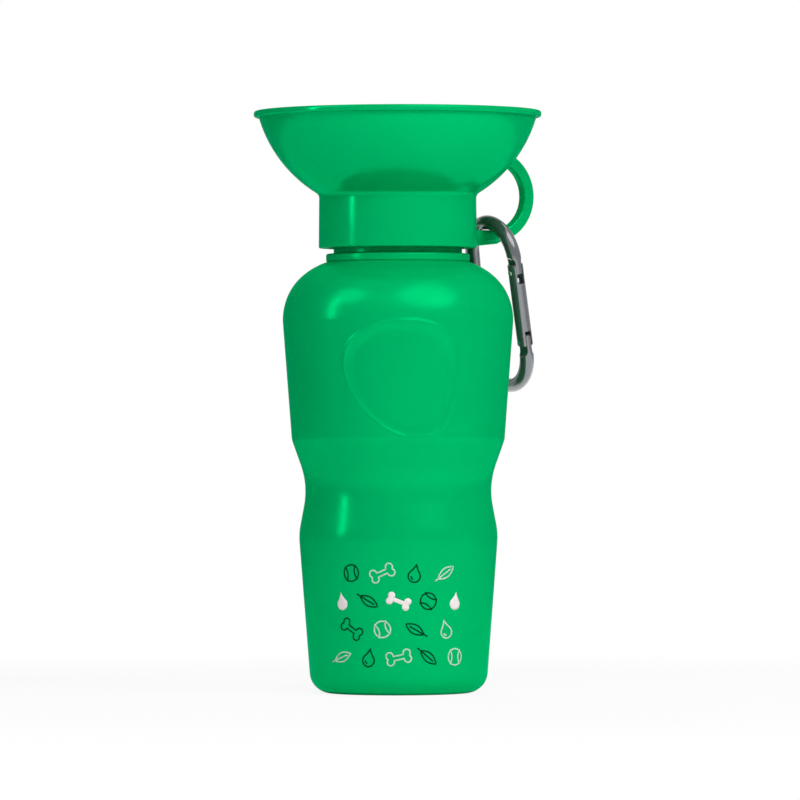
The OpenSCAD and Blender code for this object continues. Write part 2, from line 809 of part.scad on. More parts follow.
module carabiner_gate() {
    color([0.45, 0.46, 0.48])
        hang()
            difference() {
                on_gate(gate_gap) along_y(gate_r, gate_l);
                on_gate(gate_gap - 1)
                    translate([-gate_d, 0, -tang_t / 2 - slot_gap])
                        cube([2 * gate_d, hinge_slot_l + 1, tang_t + 2 * slot_gap]);
                on_gate(gate_gap + gate_l - nose_slot_l)
                    translate([-gate_d, 0, -tongue_t / 2 - nose_slot_gap])
                        cube([2 * gate_d, nose_slot_l + 1, tongue_t + 2 * nose_slot_gap]);
                on_gate(bore_top_at - 1) along_y(spring_bore_d / 2, spring_bore_l + 1);
                on_gate(rivet_at)
                    translate([0, 0, -gate_d]) cylinder(r = rivet_d / 2 + turn_gap, h = 2 * gate_d);
                on_gate(nose_pin_at)
                    translate([0, 0, -gate_d]) cylinder(r = nose_pin_d / 2 + seat_gap, h = 2 * gate_d);
            }
}

module gate_rivet() {
    color([0.7, 0.72, 0.73])
        hang()
            on_gate(rivet_at)
                translate([0, 0, -gate_r])
                    rotate_extrude()
                        polygon(rounded([
                            [0, -rivet_head_h, 0],
                            [rivet_d / 2, -rivet_head_h / 2, 0.2],
                            [rivet_d / 2, gate_d + rivet_head_h / 2, 0.2],
                            [0, gate_d + rivet_head_h, 0]
                        ]));
}

module nose_pin() {
    color([0.7, 0.72, 0.73])
        hang()
            on_gate(nose_pin_at)
                cylinder(r = nose_pin_d / 2, h = gate_d - nose_pin_short, center = true);
}

module gate_plunger() {
    color([0.3, 0.3, 0.31])
        hang()
            on_gate(plunger_at)
                rotate([-90, 0, 0])
                    rotate_extrude()
                        polygon(rounded([
                            [0, 0, 0],
                            [plunger_r, 0, 0.5],
                            [plunger_r, plunger_l, 0],
                            [0, plunger_l, 0]
                        ]));
}

module gate_spring() {
    l = bore_top_at + spring_bore_l - plunger_at - plunger_l;
    color([0.6, 0.6, 0.6])
        hang()
            on_gate(plunger_at + plunger_l)
                rotate([-90, 0, 0]) ring_solid(plunger_r - spring_wire, plunger_r, 0, l);
}

bottle_shell();
tube_holder();
dip_tube();
neck_gasket();
screw_cap();
stem_o_ring_lower();
stem_o_ring_upper();
bowl_top();
carabiner_body();
carabiner_gate();
gate_rivet();
gate_spring();
gate_plunger();
nose_pin();
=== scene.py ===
# %% [markdown]
# # A drinking bottle for walks with a dog
#
# The object is a soft, waisted bottle with a wide bowl screwed on top, a carrying loop on the
# bowl's collar and a small spring clip in the loop. Its sizes and its moving parts come from a
# packed engineering model, which is the frame for everything here. This lesson gives it its
# looks: smooth skins, threads, a print, finishes, light and a camera.
#
# The first cell loads the frame. Its parts arrive as meshes in metres, each tied to the body
# that it moves with. They are never edited: a piece is either given a better finish or hidden
# behind a finer mesh that stands for it.

# %% Load the frame
import math

import bmesh
import bpy
import numpy as np
from mathutils import Matrix, Vector
from mathutils.geometry import delaunay_2d_cdt


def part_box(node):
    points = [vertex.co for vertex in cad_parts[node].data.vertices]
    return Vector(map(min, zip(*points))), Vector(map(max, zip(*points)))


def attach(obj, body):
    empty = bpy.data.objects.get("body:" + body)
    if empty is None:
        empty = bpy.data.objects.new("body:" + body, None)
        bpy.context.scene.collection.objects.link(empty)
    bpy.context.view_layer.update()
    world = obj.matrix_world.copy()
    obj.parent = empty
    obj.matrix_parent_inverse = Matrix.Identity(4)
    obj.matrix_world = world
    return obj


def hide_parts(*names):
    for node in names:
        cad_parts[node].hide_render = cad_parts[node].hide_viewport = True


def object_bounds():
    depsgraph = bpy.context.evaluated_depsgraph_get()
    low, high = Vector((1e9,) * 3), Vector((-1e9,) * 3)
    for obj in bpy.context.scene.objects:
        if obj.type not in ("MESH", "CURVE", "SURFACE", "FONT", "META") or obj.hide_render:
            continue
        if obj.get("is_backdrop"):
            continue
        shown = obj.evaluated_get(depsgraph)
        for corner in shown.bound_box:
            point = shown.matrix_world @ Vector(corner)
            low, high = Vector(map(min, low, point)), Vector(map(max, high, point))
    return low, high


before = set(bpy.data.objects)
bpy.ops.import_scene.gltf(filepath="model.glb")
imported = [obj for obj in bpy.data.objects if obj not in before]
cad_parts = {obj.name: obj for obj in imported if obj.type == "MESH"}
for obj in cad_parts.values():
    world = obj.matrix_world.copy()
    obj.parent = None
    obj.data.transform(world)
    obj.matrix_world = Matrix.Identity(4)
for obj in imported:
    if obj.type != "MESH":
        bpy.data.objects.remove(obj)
cad_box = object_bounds()
print("parts:", sorted(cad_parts))

# %% [markdown]
# ## Sizes
#
# A drawing of a bottle is in millimetres, so the sizes here are too, and one factor turns them
# into Blender's metres. Where the frame can tell a height, it is read from the frame, so that a
# skin can't drift away from the part it stands for. The rest are the driving sizes that the
# engineering model was built from. In three places a skin follows the real bottle a little
# closer than the model does: below the neck's ring, in the thumb recess and in the loop's place.

# %% Sizes in millimetres
MM = 0.001


def top_of(part):
    """Upper end of a part of the frame, in millimetres."""
    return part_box(part)[1].z / MM


LIP_Z = top_of("bottle_shell")
BOWL_Z = top_of("bowl_top")
BOTTLE_R = 44.0
SHOULDER_Z = 142.0
CREASE = (40.6, 96.5)
WAIST = (34.5, 79.4)
CREST = (38.0, 60.8)
FOOT_R = 33.4
RING_R = 27.4
COLLAR_R = 30.2
print(f"lip at {LIP_Z:.2f} mm, bowl's edge at {BOWL_Z:.2f} mm")

# %% [markdown]
# ## The camera
#
# The photograph was taken from far away with a long lens: the bowl's rim is a thin, flat
# ellipse, and the two sides of the bottle show no perspective. A camera two and a half metres
# off with a 293 mm lens gives that picture. It stands a little below the middle of the bottle,
# looks up by three tenths of a degree, and is rolled by an eighth, as the photograph is.

# %% Place the camera
LENS = 292.9
SENSOR = 36.0
CAMERA_FROM = Vector((0.0007, -2.484, 0.0985))
CAMERA_TO = Vector((0.0007, 0.0, 0.1117))
CAMERA_ROLL = math.radians(-0.12)


def look(at, to):
    """The place of something that stands at one point and looks at another."""
    return Matrix.Translation(at) @ (to - at).to_track_quat("-Z", "Y").to_matrix().to_4x4()


camera_data = bpy.data.cameras.new("portrait_camera")
camera_data.lens = LENS
camera_data.sensor_width = SENSOR
camera = bpy.data.objects.new("portrait_camera", camera_data)
bpy.context.scene.collection.objects.link(camera)
camera.matrix_world = look(CAMERA_FROM, CAMERA_TO) @ Matrix.Rotation(CAMERA_ROLL, 4, "Z")
bpy.context.scene.camera = camera
bpy.context.scene.view_settings.view_transform = "Standard"
print("camera is", round((CAMERA_TO - CAMERA_FROM).length, 3), "m from the bottle")

# %% [markdown]
# ## Finishes
#
# Moulded plastic looks plain from afar, but it is never one flat colour. A blown bottle has a
# faint orange-peel skin and slow changes of gloss, a moulded bowl is harder and shinier, and
# turned metal shows fine draw lines. Each finish is one Principled shader, with noise for the
# small changes in colour and gloss and a very shallow bump. One helper makes them all, so that
# every finish has the same few knobs.


# %% A helper for finishes
SMOOTHEST = 0.02
BUMP_STRENGTH = 0.35


def linear(rgb):
    """A colour picked from a screen, 0 to 255, as Blender's linear colour."""
    out = []
    for c in rgb:
        c = c / 255
        out.append(c / 12.92 if c <= 0.04045 else ((c + 0.055) / 1.055) ** 2.4)
    return (*out, 1.0)


def finish(name, rgb, rough, grain, depth, vary=0.06, metal=0.0, specular=0.5,
           tint=(1, 1, 1), shade=0.93, patch=40.0, **knobs):
    """A Principled material whose colour, gloss and surface change a little over the piece.

    patch and grain say how fine the slow and the fine noise are, shade how dark the slow noise
    makes the colour, vary how far it moves the roughness, and depth how deep the bump is, in
    millimetres.
    """
    mat = bpy.data.materials.new(name)
    mat.use_nodes = True
    nodes, links = mat.node_tree.nodes, mat.node_tree.links
    shader = nodes["Principled BSDF"]
    place = nodes.new("ShaderNodeTexCoord")

    def noise(scale, detail):
        node = nodes.new("ShaderNodeTexNoise")
        node.inputs["Scale"].default_value = scale
        node.inputs["Detail"].default_value = detail
        links.new(place.outputs["Object"], node.inputs["Vector"])
        return node.outputs["Fac"]

    slow = noise(patch, 4)
    colour = nodes.new("ShaderNodeMix")
    colour.data_type = "RGBA"
    full = linear(rgb)
    colour.inputs["A"].default_value = (*[c * shade for c in full[:3]], 1)
    colour.inputs["B"].default_value = full
    links.new(slow, colour.inputs["Factor"])
    links.new(colour.outputs["Result"], shader.inputs["Base Color"])

    gloss = nodes.new("ShaderNodeMapRange")
    gloss.inputs["To Min"].default_value = max(SMOOTHEST, rough - vary)
    gloss.inputs["To Max"].default_value = rough + vary
    links.new(slow, gloss.inputs["Value"])
    links.new(gloss.outputs["Result"], shader.inputs["Roughness"])

    bump = nodes.new("ShaderNodeBump")
    bump.inputs["Strength"].default_value = BUMP_STRENGTH
    bump.inputs["Distance"].default_value = depth * MM
    links.new(noise(grain, 3), bump.inputs["Height"])
    links.new(bump.outputs["Normal"], shader.inputs["Normal"])

    shader.inputs["Metallic"].default_value = metal
    shader.inputs["Specular IOR Level"].default_value = specular
    shader.inputs["Specular Tint"].default_value = (*tint, 1)
    for knob, value in knobs.items():
        shader.inputs[knob.replace("_", " ")].default_value = value
    return mat


print("half grey on a screen is", round(linear((128, 128, 128))[0], 3), "in a shader")

# %% [markdown]
# The bottle's plastic is soft and semi-gloss; the bowl's is the same green in a harder, shinier
# mould. Its highlights are a paler green and not white, so both greens have no white gloss of
# their own, and a little green-tinted metal in them makes the highlights instead. The hidden cap
# and tube are left in the plastic's own cloudy white, as such pieces usually are. The clip is
# dark anodised metal with fine lines along the rod, and its pins are bare steel. The print is
# ink, so it is matt and hardly has a grain.

# %% Make the finishes
GREEN_GLOSS = (0.0, 1.0, 0.7)
BOTTLE_PLASTIC = finish("soft_green_plastic", (0, 176, 100), 0.25, grain=700, depth=0.02,
                        specular=0.0, tint=GREEN_GLOSS, metal=0.13)
BOWL_PLASTIC = finish("shiny_green_plastic", (0, 177, 101), 0.18, vary=0.03, grain=500,
                      depth=0.012, specular=0.0, tint=GREEN_GLOSS, metal=0.15)
CAP_PLASTIC = finish("cloudy_white_plastic", (226, 230, 227), 0.4, grain=800, depth=0.015,
                     Subsurface_Weight=0.12, Subsurface_Radius=(0.002, 0.002, 0.002))
TUBE_PLASTIC = finish("cloudy_clear_tube", (232, 238, 236), 0.3, grain=600, depth=0.01,
                      Transmission_Weight=0.35, IOR=1.5)
GASKET_RUBBER = finish("pale_silicone", (214, 219, 214), 0.55, grain=1500, depth=0.02)
O_RING_RUBBER = finish("black_rubber", (26, 26, 28), 0.5, grain=2500, depth=0.01)
CLIP_METAL = finish("dark_anodised_metal", (102, 104, 107), 0.2, vary=0.04, metal=0.65,
                    grain=2600, depth=0.01, shade=0.85, patch=120, specular=0.9)
PIN_STEEL = finish("bare_steel", (196, 200, 202), 0.25, metal=1.0, grain=3500, depth=0.006)
INK = {"rough": 0.5, "vary": 0.03, "grain": 1800, "depth": 0.006, "specular": 0.0}
INK_WHITE = finish("white_ink", (250, 240, 241), **INK)
INK_PALE = finish("pale_ink", (196, 226, 208), **INK)
INK_DARK = finish("dark_green_ink", (8, 66, 40), **INK)
print(len(bpy.data.materials), "finishes, the frame's own included")

# %% [markdown]
# ## Outlines
#
# Nearly every piece here is round, so it starts as an outline drawn beside the bottle's axis:
# a list of corners, each with its own rounding. The helper turns a corner into an arc of short
# steps. Another one splits long straight runs, because a skin that is to be dented needs rows
# of points where the dent will be.


# %% Helpers for outlines
SIDE_SHARE = 0.49


def on_circle(c, r, degrees):
    """The point of a circle at an angle."""
    a = math.radians(degrees)
    return (c[0] + r * math.cos(a), c[1] + r * math.sin(a))


def arc(c, r, a0, a1, step=4.0):
    """Points on an arc, both ends included; angles in degrees."""
    n = max(2, math.ceil(abs(a1 - a0) / step))
    return [on_circle(c, r, a0 + (a1 - a0) * i / n) for i in range(n + 1)]


def round_corner(before, at, after, r, step):
    """The arc that rounds one corner, smaller where its sides are too short for it."""
    b, p, a = (Vector(v[:2]) for v in (before, at, after))
    d0, d1 = (b - p).normalized(), (a - p).normalized()
    half = math.acos(max(-1, min(1, d0.dot(d1)))) / 2
    r = min(r, SIDE_SHARE * min((b - p).length, (a - p).length) * math.tan(half))
    c = p + (d0 + d1).normalized() * r / math.sin(half)
    t0 = p + d0 * r / math.tan(half) - c
    t1 = p + d1 * r / math.tan(half) - c
    a0 = math.degrees(math.atan2(t0.y, t0.x))
    turn = (math.degrees(math.atan2(t1.y, t1.x)) - a0 + 180) % 360 - 180
    return arc(c, r, a0, a0 + turn, step)


def outline(corners, step=4.0):
    """An open outline from corners (x, z, rounding); the first and last stay sharp."""
    out = []
    for i, c in enumerate(corners):
        if c[2] > 0 and 0 < i < len(corners) - 1:
            out += round_corner(corners[i - 1], c, corners[i + 1], c[2], step)
        else:
            out.append((c[0], c[1]))
    return out


def split_long(points, longest, low, high):
    """Splits the runs between two heights so that none is longer than longest."""
    out = [points[0]]
    for p, q in zip(points, points[1:]):
        n = 1
        if max(p[1], q[1]) > low and min(p[1], q[1]) < high:
            n = max(1, math.ceil(math.dist(p, q) / longest))
        for i in range(1, n + 1):
            out.append((p[0] + (q[0] - p[0]) * i / n, p[1] + (q[1] - p[1]) * i / n))
    return out


print("a quarter of a circle takes", len(arc((0, 0), 10, 0, 90)), "points")


# %% [markdown]
# ## From outline to skin
#
# Turning an outline round the axis gives a grid of four-sided faces. Building that grid by hand,
# and not with a modifier, lets one function push single points in or out, which is how the
# bottle gets its thumb recesses later. Smooth shading hides the facets, and an edge that turns
# by more than 32 degrees stays crisp, so a lip still looks like a lip.


# %% Helpers that make a mesh
CRISP, SWEPT_CRISP, THREAD_CRISP = 32.0, 40, 50
ON_AXIS = 1e-6


def smooth(obj, crease=CRISP):
    """Smooth shading, with edges sharper than crease degrees kept crisp."""
    obj.data.shade_smooth()
    obj.data.set_sharp_from_angle(angle=math.radians(crease))


def to_object(name, verts, faces, mat, crease=CRISP):
    """A mesh object from points in millimetres, with clean outward faces and smooth shading."""
    mesh = bpy.data.meshes.new(name)
    bm = bmesh.new()
    made = [bm.verts.new(Vector(v) * MM) for v in verts]
    for f in faces:
        bm.faces.new([made[i] for i in f])
    bmesh.ops.recalc_face_normals(bm, faces=bm.faces)
    bm.to_mesh(mesh)
    bm.free()
    obj = bpy.data.objects.new(name, mesh)
    bpy.context.scene.collection.objects.link(obj)
    obj.data.materials.append(mat)
    smooth(obj, crease)
    return obj


def spin(name, rows, mat, angles, push=None):
    """Turns rows of (radius, height) round the axis, in a number of columns or at given angles.

    push(row, angle, r, z) may give a point another radius.
    """
    if isinstance(angles, int):
        angles = [math.tau * i / angles for i in range(angles)]
    verts, ring, faces = [], [], []
    for k, (r, z) in enumerate(rows):
        if r < ON_AXIS:
            ring.append([len(verts)])
            verts.append((0, 0, z))
            continue
        ring.append(list(range(len(verts), len(verts) + len(angles))))
        for a in angles:
            rr = push(k, a, r, z) if push else r
            verts.append((rr * math.cos(a), rr * math.sin(a), z))
    n = len(angles)
    for low, high in zip(ring, ring[1:]):
        for i in range(n):
            j = (i + 1) % n
            if len(low) == 1:
                faces.append((low[0], high[j], high[i]))
            elif len(high) == 1:
                faces.append((low[i], low[j], high[0]))
            else:
                faces.append((low[i], low[j], high[j], high[i]))
    return to_object(name, verts, faces, mat)


def tube_faces(rings, n):
    """The faces of a tube made of rings of n points, one after the other, with both ends shut."""
    faces = []
    for i in range(0, (rings - 1) * n, n):
        for k in range(n):
            j = (k + 1) % n
            faces.append((i + k, i + j, i + n + j, i + n + k))
    last = (rings - 1) * n
    return faces + [tuple(range(n)), tuple(range(last, last + n))]


print("edges that turn by more than", CRISP, "degrees stay crisp")

# %% [markdown]
# Where one moulding has a part that isn't round, such as a loop or a slot, a second mesh is
# melted into the first or cut out of it. That is Blender's boolean modifier, applied at once, so
# that what is left is one plain mesh.


# %% Helpers that change a mesh
WELD_GAP = 0.0002


def weld(obj):
    """Joins points that lie on each other, such as the first and last row of a closed ring."""
    bm = bmesh.new()
    bm.from_mesh(obj.data)
    bmesh.ops.remove_doubles(bm, verts=bm.verts, dist=WELD_GAP * MM)
    bmesh.ops.recalc_face_normals(bm, faces=bm.faces)
    bm.to_mesh(obj.data)
    bm.free()
    smooth(obj)
    return obj


def apply_modifier(obj, kind, **settings):
    """Adds one modifier and turns its result into the mesh."""
    mod = obj.modifiers.new(kind.lower(), kind)
    for setting, value in settings.items():
        setattr(mod, setting, value)
    bpy.context.view_layer.objects.active = obj
    bpy.ops.object.modifier_apply(modifier=mod.name)


def combine(obj, other, how):
    """Cuts other out of obj, or melts it into obj, and removes other."""
    apply_modifier(obj, "BOOLEAN", operation=how, solver="EXACT", object=other)
    bpy.data.objects.remove(other)


def count(obj):
    """A line about a piece's mesh, to print."""
    return f"{obj.name}: {len(obj.data.vertices)} points, {len(obj.data.polygons)} faces"


print("points nearer than", WELD_GAP, "mm are welded")


# %% [markdown]
# ## The bottle
#
# The real bottle is blown: a soft tube is closed in a mould and pushed against its walls by
# air, so the wall is thin and even and every edge is round. The outline runs from the middle of
# the floor, over the standing ring, up the waisted side, over the domed shoulder to the neck,
# and back down the inside, one wall thickness further in.

# %% Draw the bottle's outline
WALL = 1.5
DOME, DOME_IN, DOME_SAG = 22.6, 3.4, 0.95
PUSH_UP, PUSH_UP_R, STAND_R = 2.4, 12.6, 18.0
DOME_TO_RING, RING_H, RING_TO_COLLAR = 0.4, 2.8, 2.2
RING_ROOT_IN, RING_ROOT_LOW = 0.4, 0.2
NECK_STEP_R, NECK_STEP_H = 24.5, 3.5
NECK_R, MOUTH_R, MOUTH_DEEP, BORE_R = 23.4, 22.2, 1.0, 21.0
FINE_ROW, DOME_STEPS, DOME_STEPS_IN, DOME_CUT = 0.5, 28, 12, 10
dome_x = RING_R - DOME_IN
dome_a = BOTTLE_R - dome_x
dome_end = math.acos(DOME_IN / dome_a)
ring_z = SHOULDER_Z + DOME * math.sin(dome_end) + DOME_TO_RING
RING_TOP = ring_z + RING_H
COLLAR_Z = RING_TOP + RING_TO_COLLAR


def dome(inset, end, n):
    """The shoulder: a quarter of an ellipse that sags a little before the neck's ring."""
    out = []
    for a in (end * i / n for i in range(n + 1)):
        sag = DOME_SAG * math.sin(math.pi * min(1, a / dome_end) ** 3)
        x = dome_x + (dome_a - inset) * math.cos(a) - sag
        out.append((x, SHOULDER_Z + (DOME - inset) * math.sin(a)))
    return out


def side(inset):
    """The corners of the waisted side, from the floor to the shoulder."""
    corners = [(FOOT_R, inset, 9), (*CREST, 25), (*WAIST, 30), (*CREASE, 9),
               (BOTTLE_R, SHOULDER_Z, 0)]
    return [(x - inset, z, rounding) for x, z, rounding in corners]


outside = outline([(0, PUSH_UP, 0), (PUSH_UP_R, PUSH_UP, 5), (STAND_R, 0, 3), *side(0)])
outside = split_long(outside, FINE_ROW, CREASE[1] + 1, SHOULDER_Z)
outside += dome(0, dome_end, DOME_STEPS)[1:]
step_z = RING_TOP + NECK_STEP_H
outside += outline([
    (RING_R - RING_ROOT_IN, ring_z - RING_ROOT_LOW, 0), (RING_R, ring_z, 0.5),
    (RING_R, RING_TOP, 0.7), (NECK_STEP_R, RING_TOP, 0.3), (NECK_STEP_R, step_z, 0.4),
    (NECK_R, step_z, 0.2), (NECK_R, LIP_Z, 0.35), (MOUTH_R, LIP_Z, 0),
], 15)
dome_inside = dome(WALL, math.pi / 2, DOME_STEPS_IN)
inside = outline([
    (MOUTH_R, LIP_Z, 0), (MOUTH_R, LIP_Z - MOUTH_DEEP, 0.1), (BORE_R, LIP_Z - MOUTH_DEEP, 0.2),
    (BORE_R, SHOULDER_Z + DOME, 1), (*dome_inside[DOME_CUT], 0),
], 15)
inside += dome_inside[DOME_CUT - 1:0:-1]
inside += outline([
    *reversed(side(WALL)), (STAND_R, WALL, 3), (PUSH_UP_R, PUSH_UP + WALL, 5),
    (0, PUSH_UP + WALL, 0),
], 8)
bottle_rows = outside + inside[1:]
print(len(outside), "rows outside,", len(inside), "inside")

# %% [markdown]
# Front and back have a recess for the thumb and the fingers, an egg that leans and bends a
# little to one side. It is half a millimetre deep, with a soft bead round it, so it shows only
# where the light grazes it. The recess is a push on the grid: how far a point lies inside the
# egg decides how far it moves in, and a narrow bell curve just outside the egg's line lifts the
# bead. The grid's columns are closer together there than at the sides.

# %% Push in the thumb recesses
THUMB_W, THUMB_H, THUMB_TAPER = 48.4, 43.2, 0.36
THUMB_ASIDE, THUMB_BEND, THUMB_LEAN = 0.9, 4.0, 2.2
THUMB_ROUND = 2.3
THUMB_Z = CREASE[1] + 22.9
THUMB_DEPTH, SLOPE, SLOPE_OUT = 0.5, 4.0, 0.2
BEAD, BEAD_OUT, BEAD_WIDE = 0.38, 0.5, 0.6
BEAD_FADE = 2.0
FINE_ZONE, FINE_COLUMN, COARSE_COLUMN = 33, 0.5, 3.0


def inside_egg(x, v):
    """How far a point is inside the egg, in millimetres; negative outside it."""
    y = v / (THUMB_H / 2)
    x -= THUMB_ASIDE + THUMB_BEND * y * y - THUMB_LEAN * y
    half = THUMB_W / 2 * (1 - THUMB_TAPER * (1 - max(-1, min(1, y))) / 2)
    reach = (abs(x / half) ** THUMB_ROUND + abs(y) ** THUMB_ROUND) ** (1 / THUMB_ROUND)
    return (1 - reach) * (THUMB_W + THUMB_H) / 4


def thumb_push(row, angle, r, z):
    """The radius of a point of the bottle, changed where the recess and its bead are."""
    if row >= len(outside) or not CREASE[1] < z < SHOULDER_Z + BEAD_FADE:
        return r
    d = inside_egg(r * math.cos(angle) * (1 if math.sin(angle) < 0 else -1), z - THUMB_Z)
    t = max(0, min(1, (d + SLOPE_OUT) / SLOPE))
    bead = BEAD * math.exp(-((d + BEAD_OUT) / BEAD_WIDE) ** 2)
    fade = min(1, (SHOULDER_Z + BEAD_FADE - z) / BEAD_FADE, (z - CREASE[1]) / BEAD_FADE)
    return r - THUMB_DEPTH * t * t * (3 - 2 * t) + bead * fade


columns = []
for centre in (90, 270):
    columns += list(np.arange(centre - FINE_ZONE, centre + FINE_ZONE, FINE_COLUMN))
    columns += list(np.arange(centre + FINE_ZONE, centre + 180 - FINE_ZONE, COARSE_COLUMN))
columns = sorted(math.radians(c % 360) for c in columns)
bottle = spin("bottle_skin", bottle_rows, BOTTLE_PLASTIC, columns, thumb_push)
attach(bottle, "bottle")
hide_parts("bottle_shell")
print(count(bottle))

# %% [markdown]
# ## Threads
#
# A screw thread is a ridge that climbs by its pitch on each turn. It is built as a small
# six-cornered section carried along a helix, and it shrinks to nothing at both ends, as a
# moulded thread does. The neck has the ridge outside and the cap has one inside, half a pitch
# higher, so that each lies in the other's groove and the cap can really screw up and off.

# %% Cut the threads
PITCH, TURNS, THREAD_Z = 4.0, 2.1, 173.3
CAP_BORE = 24.9
RIDGE = 1.05
RIDGE_SECTION = [(-0.15, -1.15), (RIDGE * 0.75, -0.55), (RIDGE, -0.3),
                 (RIDGE, 0.3), (RIDGE * 0.75, 0.55), (-0.15, 1.15)]
TURN_STEPS, EASE_STEPS = 72, 14
END_HEIGHT, EASE_HEIGHT = 0.55, 0.45


def thread(name, root, way, z0, mat):
    """A helical ridge on a round wall of radius root; way is 1 for outwards, -1 for inwards."""
    steps = int(TURNS * TURN_STEPS)
    verts = []
    for i in range(steps + 1):
        a = math.tau * TURNS * i / steps
        z = z0 + PITCH * TURNS * i / steps
        ease = math.sin(min(1, i / EASE_STEPS, (steps - i) / EASE_STEPS) * math.pi / 2)
        for out, up in RIDGE_SECTION:
            r = root + way * (out * ease if out > 0 else out)
            up *= END_HEIGHT + EASE_HEIGHT * ease
            verts.append((r * math.cos(a), r * math.sin(a), z + up))
    return to_object(name, verts, tube_faces(steps + 1, len(RIDGE_SECTION)), mat,
                     THREAD_CRISP)


neck_thread = thread("neck_thread", NECK_R, 1, THREAD_Z, BOTTLE_PLASTIC)
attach(neck_thread, "bottle")
cap_thread = thread("cap_thread", CAP_BORE, -1, THREAD_Z + PITCH / 2, CAP_PLASTIC)
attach(cap_thread, "cap")
print(count(neck_thread), "|", count(cap_thread))

# %% [markdown]
# ## The bowl, its collar and its chimney
#
# Bowl, collar and chimney are one moulding. Its outline goes up the collar, round the foot of
# the bowl, along the big arc to the rim, and back inside to the short chimney that turns on the
# cap's stem. The whole ring closes under the floor, down to the small bead that snaps under the
# cap. A hard-plastic rim has small, even roundings, so it catches one thin line of light.

# %% Turn the bowl top
ARC_C = (4.5, BOWL_Z + 11.7)
ARC_R, BOWL_WALL = 50.5, 2.2
ARC_STEP = 1.6
FOOT_ROUND = 2.5
RIM_R, RIM_H = 54.9, 2.4
BOWL_DEEP, FLOOR_T, CHIMNEY_H = 31.9, 2.0, 9.9
COLLAR_BORE, COLLAR_LIP, COLLAR_TAPER = 28.0, 26.8, 0.2
SNAP_R, SNAP_UP, SNAP_LOW, SNAP_HIGH = 26.0, 0.3, 0.8, 1.8
CHIMNEY_R, CHIMNEY_BORE = 9.2, 7.05
floor_z = BOWL_Z - BOWL_DEEP
floor_under = floor_z - FLOOR_T
CHIMNEY_TOP = floor_under + CHIMNEY_H
SNAP_Z = COLLAR_Z + SNAP_UP
collar_top_r = COLLAR_R - COLLAR_TAPER
foot_x = collar_top_r + FOOT_ROUND
foot_z = ARC_C[1] - math.sqrt((ARC_R + FOOT_ROUND) ** 2 - (foot_x - ARC_C[0]) ** 2)
foot_angle = math.degrees(math.atan2(ARC_C[1] - foot_z, ARC_C[0] - foot_x))
rim_z = BOWL_Z - RIM_H


def height_angle(z, r):
    """The angle, below level, at which the bowl's arc of radius r passes a height."""
    return math.degrees(math.asin((ARC_C[1] - z) / r))


bowl_rows = outline([
    (COLLAR_LIP, COLLAR_Z, 0), (COLLAR_R, COLLAR_Z, 0.5), (collar_top_r, foot_z, 0),
], 15)
bowl_rows += arc((foot_x, foot_z), FOOT_ROUND, 180, foot_angle, 6)[1:]
bowl_rows += arc(ARC_C, ARC_R, foot_angle - 180, -height_angle(rim_z, ARC_R), ARC_STEP)[1:]
inner_r = ARC_R - BOWL_WALL
inner_top, inner_end = (-height_angle(z, inner_r) for z in (BOWL_Z, floor_z))
inner = arc(ARC_C, inner_r, inner_top, inner_end, ARC_STEP)
bowl_rows += outline([
    (*bowl_rows[-1], 0), (RIM_R, rim_z, 0.9), (RIM_R, BOWL_Z, 0.9),
    (inner[0][0], BOWL_Z, 0.8), (*inner[1], 0),
], 12)[1:]
bowl_rows += inner[2:-1]
bowl_rows += outline([
    (*inner[-1], 0), (CHIMNEY_R, floor_z, 1.2), (CHIMNEY_R, CHIMNEY_TOP, 0.7),
    (CHIMNEY_BORE, CHIMNEY_TOP, 0.5), (CHIMNEY_BORE, floor_under, 0),
    (COLLAR_BORE, floor_under, 1), (COLLAR_BORE, SNAP_Z + SNAP_HIGH, 0),
    (SNAP_R, SNAP_Z + SNAP_HIGH, 0), (SNAP_R, SNAP_Z + SNAP_LOW, 0), (COLLAR_LIP, COLLAR_Z, 0),
], 12)
bowl = weld(spin("bowl_skin", bowl_rows, BOWL_PLASTIC, angles=240))
print(count(bowl), "| foot of the bowl at", round(foot_z, 2), "mm")

# %% [markdown]
# ## The carrying loop
#
# The loop stands on the collar's lower edge, runs straight out, bends up in a wide ring and ends
# in the underside of the bowl. Its section is a rectangle with round edges. Carrying that
# section along the middle line, and letting it grow a little where it meets the collar and the
# bowl, gives the soft roots that a moulding needs. Then the loop is melted into the bowl, so
# that both are one closed skin.


# %% Sweep the loop
def sweep(name, path, section, mat):
    """Carries a section of (side, across) along a plane path.

    path has the point, the way to the side in the plane, the way across it, and a scale.
    """
    verts = []
    for p, u, w, k in path:
        verts += [tuple(p + u * (s * k) + w * (t * k)) for s, t in section]
    return to_object(name, verts, tube_faces(len(path), len(section)), mat, SWEPT_CRISP)


def rounded_bar(w, h, r):
    """A rectangle w by h with round edges, as a closed section."""
    x, y = w / 2 - r, h / 2 - r
    out = []
    for cx, cy, a in ((x, y, 0), (-x, y, 90), (-x, -y, 180), (x, -y, 270)):
        out += arc((cx, cy), r, a, a + 90, 18)
    return out


